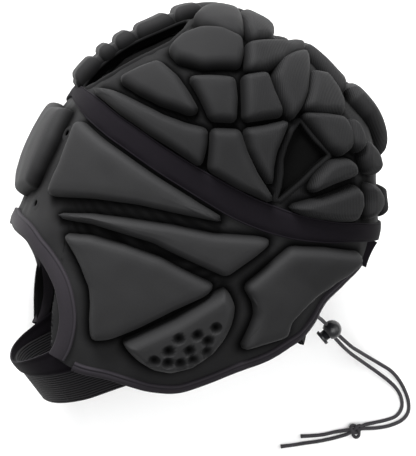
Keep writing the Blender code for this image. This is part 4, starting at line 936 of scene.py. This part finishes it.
# %% Side pads
SIDE_PADS = {
    "temple": ((78, 124), (92, 124), (122, 145), (161, 174), (197, 204), (222, 220), (182, 212), (137, 202),
               (92, 196), (50, 194), (62, 165), (72, 140)),
    "upper_cheek": ((57, 216), (90, 216), (122, 220), (170, 227), (213, 236), (258, 239), (270, 242), (258, 253),
                    (240, 266), (226, 276), (182, 256), (152, 241), (120, 231), (90, 222)),
    "cheek": ((64, 236), (90, 238), (122, 247), (158, 260), (184, 274), (212, 287), (205, 295), (170, 311),
              (134, 329), (106, 340), (90, 341), (89, 322), (90, 306), (89, 289), (81, 268), (71, 247)),
    "rear": ((292, 249), (325, 250), (360, 254), (357, 262), (333, 280), (303, 306), (289, 322), (286, 336),
             (262, 344), (242, 350), (251, 332), (257, 316), (255, 303), (246, 288), (270, 268)),
}
DOME = ((113, 353), (118, 362), (129, 373), (146, 383), (164, 386), (189, 380), (213, 364), (226, 348), (233, 335),
        (237, 322), (237, 313), (232, 302), (225, 294), (213, 301), (170, 327), (140, 341))
DIMPLES = ((213, 333), (193, 341), (173, 345), (204, 347), (162, 358), (184, 357), (203, 358), (147, 368),
           (161, 370), (188, 367), (174, 370))
AIR_HOLES = ((67, 133), (36, 203))
BROW_SIDE = ((66, 106), (58, 121), (50, 139), (42, 156), (35, 172), (28, 187))
BROW_ENDS, JAW_SEAM, AIR_HOLE_RADIUS = (146.0, 176.5), (100, 115), 0.0018
RIM_STEPS, FACE_STEPS, SIDE_ROWS = 130, 70, 46

side = Surface()
half_seam = beside(RING, -CROWN_SIDE * SEAM_GAP, True)[: len(RING) // 2 + 1]
nape = int(np.linalg.norm(half_seam - RIM_LINE[0], axis=1).argmin())
jaw_above = int(np.linalg.norm(half_seam - from_sheet([JAW_SEAM])[0], axis=1).argmin())
upper = np.concatenate([even_steps(half_seam[jaw_above: nape + 1], RIM_STEPS)[::-1],
                        even_steps(half_seam[: jaw_above + 1], FACE_STEPS)[::-1][1:]])
lower = np.concatenate([even_steps(RIM_LINE, RIM_STEPS), even_steps(FACE_LINE, FACE_STEPS)[1:]])
shares = np.linspace(0, 1, SIDE_ROWS)[:, None, None]
left = on_shell(lower[None] * (1 - shares) + upper[None] * shares)
sheet_grid = np.concatenate([left, mirrored(left[:, -2::-1])], 1)
# The inner skin is evenly painted darker: painted shade inside the shell.
side.add_grid(lifted(sheet_grid, -WALL), low=0.65)
face_lines = [(FACE_LINE[::3], FACE_BINDING_WIDTH + PAD_CLEAR), (RIM_LINE[::3], RIM_BINDING_WIDTH + PAD_CLEAR)]
tape_edge = np.concatenate([RING_WIDTH, RING_WIDTH[:1]])[::4] / 2 * TAPE_SINK + 0.0020
side_lines = [(CLOSED_RING[::4], tape_edge), *face_lines]
side_outlines = [pushed_off(grown(rounded(from_sheet(rows, GROOVE_HEIGHT), SIDE_STEP, SIDE_SOFT), SIDE_GROW),
                            side_lines) for rows in SIDE_PADS.values()]
for outline in side_outlines:
    add_pad(side, outline, SIDE_PAD, SIDE_SHOULDER, 10, swell=0.0020, uneven=0.0003)
dome_outline = pushed_off(rounded(from_sheet(DOME, DOME_PAD), 0.0011, 0.0022), side_lines)
add_pad(side, dome_outline, DOME_PAD, 0.0060, 34, swell=0.0015, uneven=0.0002, pits=from_sheet(DIMPLES, DOME_PAD))
brow_left = from_sheet(BROW_SIDE, BROW_PAD)
brow = np.concatenate([on_midline(np.array(BROW_ENDS[:1])), brow_left, on_midline(np.array(BROW_ENDS[1:])),
                       mirrored(brow_left)[::-1]])
brow = pushed_off(brow, [*side_lines, (mirrored(FACE_LINE[::3]), FACE_BINDING_WIDTH + PAD_CLEAR)])
brow = rounded(brow, SIDE_STEP, SIDE_SOFT)
add_pad(side, brow, BROW_PAD, 0.0045, 12, both=False, swell=0.0018)
turn = np.linspace(0, math.tau, 24, endpoint=False)[:, None]
holes = []
for spot in from_sheet(AIR_HOLES, 0.0):
    stand = shell_normal(spot[None])[0]
    ahead = unit(np.cross(stand, (0.0, 0.0, 1.0)))
    ring = on_shell(spot + AIR_HOLE_RADIUS * (np.cos(turn) * ahead + np.sin(turn) * np.cross(stand, ahead)))
    holes += [ring, mirrored(ring)]
centres = on_shell((sheet_grid[:-1, :-1] + sheet_grid[1:, 1:] + sheet_grid[:-1, 1:] + sheet_grid[1:, :-1]) / 4)
keep = np.ones(centres.shape[:2], bool)
for hole in holes:
    lip(side, hole, PUNCHED)
    keep &= ~inside_loop(grown(hole, CUT_BACK), centres)
all_sides = side_outlines + [dome_outline]
# Painted shade: the side's membrane is darker the nearer it lies to a pad.
side_dark = painted_groove_shade(sheet_grid, all_sides + [mirrored(line) for line in all_sides] + [brow])
uneven = 0.0003 * wobble(sheet_grid, 0.016, 2.0)
side.add_grid(lifted(sheet_grid, uneven), low=side_dark, keep=keep, flip=True)
side_surface = side.make("side_surface", side_knit, least=RESTING)
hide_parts("crown_panel")
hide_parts("side_panel")
for piece in (crown_surface, side_surface):
    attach(piece, "headguard")

# %% [markdown]
# ## Tape and bindings
#
# The tape is a flat woven strip sewn over the seam, and the bindings are strips folded round the edges. Each is one
# short cross-section swept along its seam line: a list of places across the strip and of heights over the shell.

# %% Tape
def swept(surface, line, rows, closed, seed=0.0, uneven=0.0):
    """Sweeps a cross-section along a line of the shell. Rows hold the place across, which may change along the line,
    the height over the shell, and how much painted shade and how much painted highlight and wear the place gets.
    """
    points = [lifted(beside(line, across, closed), height + uneven * wobble(line, 0.018, seed + k))
              for k, (across, height, _, _) in enumerate(rows)]
    grid = np.stack(points)
    surface.add_grid(grid, around=closed, low=np.array([r[2] for r in rows])[:, None],
                     edge=np.array([r[3] for r in rows])[:, None])


tape = Surface()
top = TAPE_LIFT + TAPE_THICKNESS
# Rows: across, height, painted shade, painted highlight and wear. The folded-under edges and the dip at each stitched
# line get painted shade, the crests of the folds a painted highlight.
profile = ((-1.0, -0.0010, 1.0, 0), (-1.0, top * 0.7, 0.2, 0.6), (-0.965, top, 0, 1.0), (-0.90, top + 0.0001, 0, 0.4),
           (-0.86, top - 0.0003, 0.5, 0), (-0.81, top + 0.0001, 0, 0.1), (-0.4, top + 0.0003, 0, 0),
           (0.0, top + 0.0004, 0, 0), (0.4, top + 0.0003, 0, 0), (0.81, top + 0.0001, 0, 0.1),
           (0.86, top - 0.0003, 0.5, 0), (0.90, top + 0.0001, 0, 0.4), (0.965, top, 0, 1.0),
           (1.0, top * 0.7, 0.2, 0.6), (1.0, -0.0010, 1.0, 0))
swept(tape, RING, [(a * RING_WIDTH / 2 * (1.0 if a * CROWN_SIDE > 0 else TAPE_SINK), h, low, edge)
                   for a, h, low, edge in profile], True, 0.5, 0.00018)
crown_tape = tape.make("tape_strip", tape_weave)

# %% Bindings
def bound_edge(name, line, width, onto):
    """Cloth folded round an edge: an outer flap with a stitched line, a round turn and an inner flap."""
    top = BINDING_LIFT + BINDING_THICKNESS
    low = -WALL - BINDING_LIFT
    # Rows: across, height, painted shade, painted highlight and wear. The tucked-in edges and the stitched line get
    # painted shade, the outer crest and the round turn a painted highlight.
    rows = [(width, -0.0008, 1.0, 0), (width, top * 0.8, 0.2, 0.5), (width - 0.0006, top, 0, 0.8),
            (width - 0.0013, top, 0, 0.3), (width - 0.0017, top - 0.0003, 0.6, 0), (width - 0.0022, top, 0, 0.1),
            (width * 0.4, top + 0.0003, 0, 0.1)]
    for a in np.linspace(0, math.pi, 7):
        rows.append((-0.0003 - 0.0009 * math.sin(a), (top + low) / 2 + (top - low) / 2 * math.cos(a), 0,
                     0.5 * math.sin(a)))
    rows += [(0.0050, low - 0.0006, 0.2, 0), (0.0058, low - 0.0004, 0.4, 0), (0.0060, low + 0.0010, 1, 0)]
    surface = Surface()
    swept(surface, line, [(onto * a, h, lo, e) for a, h, lo, e in rows], False, 1.1, 0.00012)
    return surface.make(name, binding_weave)


FACE_RING = np.concatenate([FACE_LINE, mirrored(FACE_LINE[-2::-1])])
trimmed = even_steps(RIM_LINE, 230)[10:-15]
bindings = [
    (bound_edge("face_trim", FACE_RING, FACE_BINDING_WIDTH, -1.0), "face_binding"),
    (bound_edge("rim_trim_left", trimmed, RIM_BINDING_WIDTH, -1.0), "rim_binding_left"),
    (bound_edge("rim_trim_right", mirrored(trimmed), RIM_BINDING_WIDTH, 1.0), "rim_binding_right"),
    (crown_tape, "crown_tape"),
]
for piece, node in bindings:
    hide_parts(node)
    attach(piece, "headguard")

# %% [markdown]
# ## Chin strap
#
# The elastic is a ribbed band from jaw to jaw. Its cross-section is a thin strip with a row of small round ribs, and
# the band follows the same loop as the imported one. A smooth cloth strip runs along its upper edge.

# %% Chin strap
STRAP_ROUTE = ((104, 350, 1.0), (84, 357, 0.97), (64, 365, 0.88), (46, 371, 0.70), (34, 375, 0.42), (29, 377, 0.0))
ELASTIC_WIDTH, ELASTIC_THICKNESS, BAND_THICKNESS = 0.030, 0.0018, 0.0012
STRAP_TILT_DEG, STRAP_GAP = -53.3, 0.0009
STRAP_STEPS, STRAP_RIBS = 161, 19
route_rows = np.array(STRAP_ROUTE, float)
flat = sheet_point(route_rows[:, 0], route_rows[:, 1])
tilt = math.radians(STRAP_TILT_DEG)
across = np.array((math.cos(tilt), math.sin(tilt), 0.0))
ends = flat[0] + across * np.linspace(-0.5, 0.5, 5)[:, None] * ELASTIC_WIDTH
turns = np.degrees(np.arctan2(ends[:, 1], ends[:, 0]))
reach = np.hypot(ends[:, 0], ends[:, 1]) / (periodic(PROFILE, turns) * SHEET_UNIT)
sides = width_at(ends[:, 0], ends[:, 1]) * (1 - reach**SQUARENESS) ** (1 / SQUARENESS)
end = sides.min() - (WALL + STRAP_GAP + BINDING_THICKNESS + BAND_THICKNESS + ELASTIC_THICKNESS / 2)
half = np.column_stack([flat[:, :2], route_rows[:, 2] * end])
strap_line = smooth_curve(np.concatenate([half, mirrored(half[-2::-1])]), STRAP_STEPS)
ahead = np.gradient(strap_line, axis=0)
out = unit(np.cross(ahead, across))
out = out if out[STRAP_STEPS // 2, 0] < 0 else -out


def band(name, low, high, inner, outer, relief, count, material, depth_tone, edge_tone):
    """A strip along the strap's loop, between two places across it, with a relief on its outer and inner faces."""
    places = np.linspace(0, 1, count)
    low, high = np.broadcast_to(low, STRAP_STEPS), np.broadcast_to(high, STRAP_STEPS)
    spots = strap_line[None] + across * (low[None] + (high - low)[None] * places[:, None])[..., None]
    face = spots + out[None] * (outer + relief(places))[:, None, None]
    rear = spots + out[None] * (inner - relief(places))[:, None, None]
    grid = np.concatenate([face, rear[::-1], face[:1]])
    tones = np.concatenate([places, places[::-1], places[:1]])
    return single(name, grid, material, low=depth_tone(tones)[:, None], edge=edge_tone(tones)[:, None])


def rib_wave(places):
    """Rounded waves across the band, from 0 between two ribs to 1 on a rib."""
    return np.abs(np.sin(places * math.pi * STRAP_RIBS))


# The elastic is painted in shade between its ribs and gets a painted highlight on their tops.
elastic = band("chin_web", -ELASTIC_WIDTH / 2, ELASTIC_WIDTH / 2, -0.0007, 0.0007,
               lambda p: 0.00055 * rib_wave(p) - 0.0003, 153, web,
               lambda p: 0.9 * (1 - rib_wave(p)) ** 1.5, lambda p: 0.5 * rib_wave(p) ** 4)
share = np.abs(np.linspace(-1, 1, STRAP_STEPS))
base = ELASTIC_THICKNESS / 2 + 0.0003
# The cloth strip is painted darker along two stitched lines and lighter at both edges, a painted highlight with wear.
strip = band("chin_strip", -0.017 - 0.012 * share**1.5, -0.011 + 0.006 * share, base, base + BAND_THICKNESS,
             lambda p: 0.0002 * np.sin(p * math.pi), 13, tape_weave,
             lambda p: 0.4 * (np.abs(p - 0.12) < 0.05) + 0.4 * (np.abs(p - 0.88) < 0.05),
             lambda p: 0.8 * (np.abs(p - 0.5) > 0.45))
for piece, node in ((elastic, "chin_elastic"), (strip, "chin_band")):
    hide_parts(node)
    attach(piece, "headguard")
print("strap between the jaws, m:", round(run_of(strap_line), 3))

# %% [markdown]
# ## Rear gusset, lacing and tab
#
# Behind the rear gap lies a cloth gusset. A cord crosses it and pulls the edges together, and a small bare tab is
# sewn at the nape.

# %% Rear gusset, lacing and tab
gusset = Surface()
rows = []
for point in smooth_curve(rim_places[2:13:2], 40):
    angle = math.degrees(math.atan2(point[1], point[0]))
    rows.append(on_midline(np.full(41, angle), np.linspace(-point[2] - 0.003, point[2] + 0.003, 41)))
rows = np.array(rows)
folds = 0.0005 * wobble(rows, 0.011, 0.9)
face, rear = lifted(rows, folds - depth), lifted(rows, folds - depth - 0.0012)
# Painted shade: the gusset lies back behind the rear gap, its face a little darker, its back more.
gusset.add_grid(face, low=0.3)
gusset.add_grid(rear, low=0.5, flip=True)
gusset_cloth = gusset.make("gusset_cloth", tape_weave)
print("gusset, m:", round(run_of(face[:, 20]), 3), "by", round(max(run_of(row) for row in face), 3))

lacing_braid = single("lacing_braid", tube(LACING, CORD_DIAMETER / 2), braid, world=True, around=True)

TAB_ANGLE, TAB_WIDTH, TAB_LENGTH = -17.0, 0.018, 0.012
foot = lifted(on_midline(np.array([TAB_ANGLE])), 0.0003 - depth)[0]
stand = shell_normal(on_midline(np.array([TAB_ANGLE])))[0]
along = np.cross(stand, (0.0, 0.0, 1.0))
tab = Surface()
for side_sign in (-1, 1):
    grid = [[foot + along * s * TAB_WIDTH + stand * (0.004 * s * s + r * TAB_LENGTH)
             + np.array((0, 0, side_sign * 0.0006 * (1 - r**6) + 0.0004 * math.sin(5 * s + 2 * r)))
             for s in np.linspace(-0.5, 0.5, 21)] for r in np.linspace(0, 1, 13)]
    # The tab is painted lighter towards its free edge: a painted highlight with wear.
    tab.add_grid(np.array(grid), edge=np.linspace(0, 1, 13)[:, None] ** 4, flip=side_sign > 0)
tab_cloth = tab.make("tab_cloth", tape_weave)
for piece, node in ((gusset_cloth, "rear_gusset"), (lacing_braid, "lacing_cord"), (tab_cloth, "rear_tab")):
    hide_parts(node)
    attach(piece, "headguard")

# %% [markdown]
# ## Cord, knot and lock
#
# The two strands are round tubes along their routes. The knot is one cord wound three times round itself. The lock
# is a turned ball with a mouth, and its button is a turned plunger with a flange that slides into it.

# %% Cords and knot
def cord_piece(name, line, radius=CORD_DIAMETER / 2, sides=14, flare=0.0):
    """A round cord along a line of the world frame."""
    piece = single(name, tube(line, radius, sides, flare), braid, world=True, around=True)
    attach(piece, "headguard")
    return piece


exit_cord = cord_piece("exit_cord", exit_line)
cord_a = cord_piece("cord_a", line_a, flare=0.0001)
cord_b = cord_piece("cord_b", line_b, flare=0.0001)
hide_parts("drawcord_exit")
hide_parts("drawcord_a", "drawcord_tail_a")
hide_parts("drawcord_b", "drawcord_tail_b")

t = np.linspace(0, math.tau, 140)
wind = np.stack([np.sin(t) + 2 * np.sin(2 * t), np.cos(t) - 2 * np.cos(2 * t), -np.sin(3 * t)], -1)
wind = wind * KNOT_SIZE + over_surface(*(np.float64(v) for v in KNOT))
cord_knot = cord_piece("cord_knot", wind, CORD_DIAMETER / 2 * 0.9, 12)
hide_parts("drawcord_knot")

# %% Lock
def turned(name, profile, centre, axis, material, body):
    """A turned piece: a profile of places along the axis and distances from it, swung round in 48 steps."""
    axis = unit(axis)
    side = unit(np.cross(axis, (0.0, 0.0, 1.0)))
    other = np.cross(axis, side)
    turn = np.linspace(0, math.tau, 48, endpoint=False)
    ring = np.cos(turn)[:, None] * side + np.sin(turn)[:, None] * other
    grid = np.stack([centre + axis * a + ring * r for a, r in profile])
    piece = single(name, grid, material, world=True, around=True)
    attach(piece, body)
    return piece


BALL_RADIUS, MOUTH_RADIUS, LOCK_TURN_DEG = 0.0064, 0.0046, 220.0
lock_middle = over_surface(*(np.float64(v) for v in LOCK))
lock_turn = math.radians(LOCK_TURN_DEG)
lock_axis = TURN @ (math.cos(lock_turn) * RIGHT + math.sin(lock_turn) * UP)
mouth = math.sqrt(BALL_RADIUS**2 - MOUTH_RADIUS**2)
ball = [(-0.0015, 0.0), (-0.0015, 0.0040), (mouth - 0.0003, 0.0040), (mouth, 0.0043)]
ball += [(BALL_RADIUS * math.cos(a), BALL_RADIUS * math.sin(a))
         for a in np.linspace(math.acos(mouth / BALL_RADIUS), math.pi, 26)]
barrel = turned("lock_ball", ball, lock_middle, lock_axis, satin, "headguard")
rest = mouth + 0.0031
plunger = [(0.0018, 0.0), (0.0018, 0.0034), (0.0020, 0.0036), (rest, 0.0036), (rest, 0.0050), (rest + 0.0003, 0.0052),
           (rest + 0.0014, 0.0052), (rest + 0.0020, 0.0048), (rest + 0.0022, 0.0042), (rest + 0.0019, 0.0032),
           (rest + 0.0019, 0.0)]
button = turned("lock_plunger", plunger, lock_middle, lock_axis, satin, "lock_button")
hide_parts("cord_lock_barrel")
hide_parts("cord_lock_button")
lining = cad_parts["crown_lining"].data
lining.materials.clear()
lining.materials.append(black_lining)

# %% [markdown]
# ## Floor and light
#
# A wide pale floor, a strong soft light above and beyond the crown, and two weaker, wider ones that open the shadows.

# %% Floor and light
bpy.ops.mesh.primitive_plane_add(size=8.0, location=(0, 0, FLOOR))
floor = bpy.context.active_object
floor.name = "floor"
paper = bpy.data.materials.new("pale_paper")
paper.use_nodes = True
paper.node_tree.nodes["Principled BSDF"].inputs["Base Color"].default_value = (0.97, 0.97, 0.97, 1)
paper.node_tree.nodes["Principled BSDF"].inputs["Roughness"].default_value = 0.9
floor.data.materials.append(paper)


def area_light(name, where, size, power):
    """A soft square lamp that looks at the headguard's middle."""
    lamp = bpy.data.lights.new(name, "AREA")
    lamp.size, lamp.energy = size, power
    holder = bpy.data.objects.new(name, lamp)
    bpy.context.scene.collection.objects.link(holder)
    way = unit(np.array((0, 0, 0.1)) - np.array(where))
    side = unit(np.cross(way, (0.0, 0.0, 1.0) if abs(way[2]) < 0.95 else (0.0, 1.0, 0.0)))
    lift = np.cross(side, way)
    holder.matrix_world = Matrix([(side[i], lift[i], -way[i], where[i]) for i in range(3)] + [(0, 0, 0, 1)])
    return holder


area_light("key", (-0.45, 1.5, 0.85), 0.8, 80)
area_light("fill", (1.2, 0.2, 1.2), 1.2, 8)
area_light("top", (0.0, -0.2, 1.9), 1.4, 24)
world = bpy.data.worlds.new("studio")
bpy.context.scene.world = world
world.use_nodes = True
world.node_tree.nodes["Background"].inputs["Color"].default_value = (1, 1, 1, 1)
world.node_tree.nodes["Background"].inputs["Strength"].default_value = 0.42
bpy.context.scene.view_settings.view_transform = "Standard"  # keeps the paper white
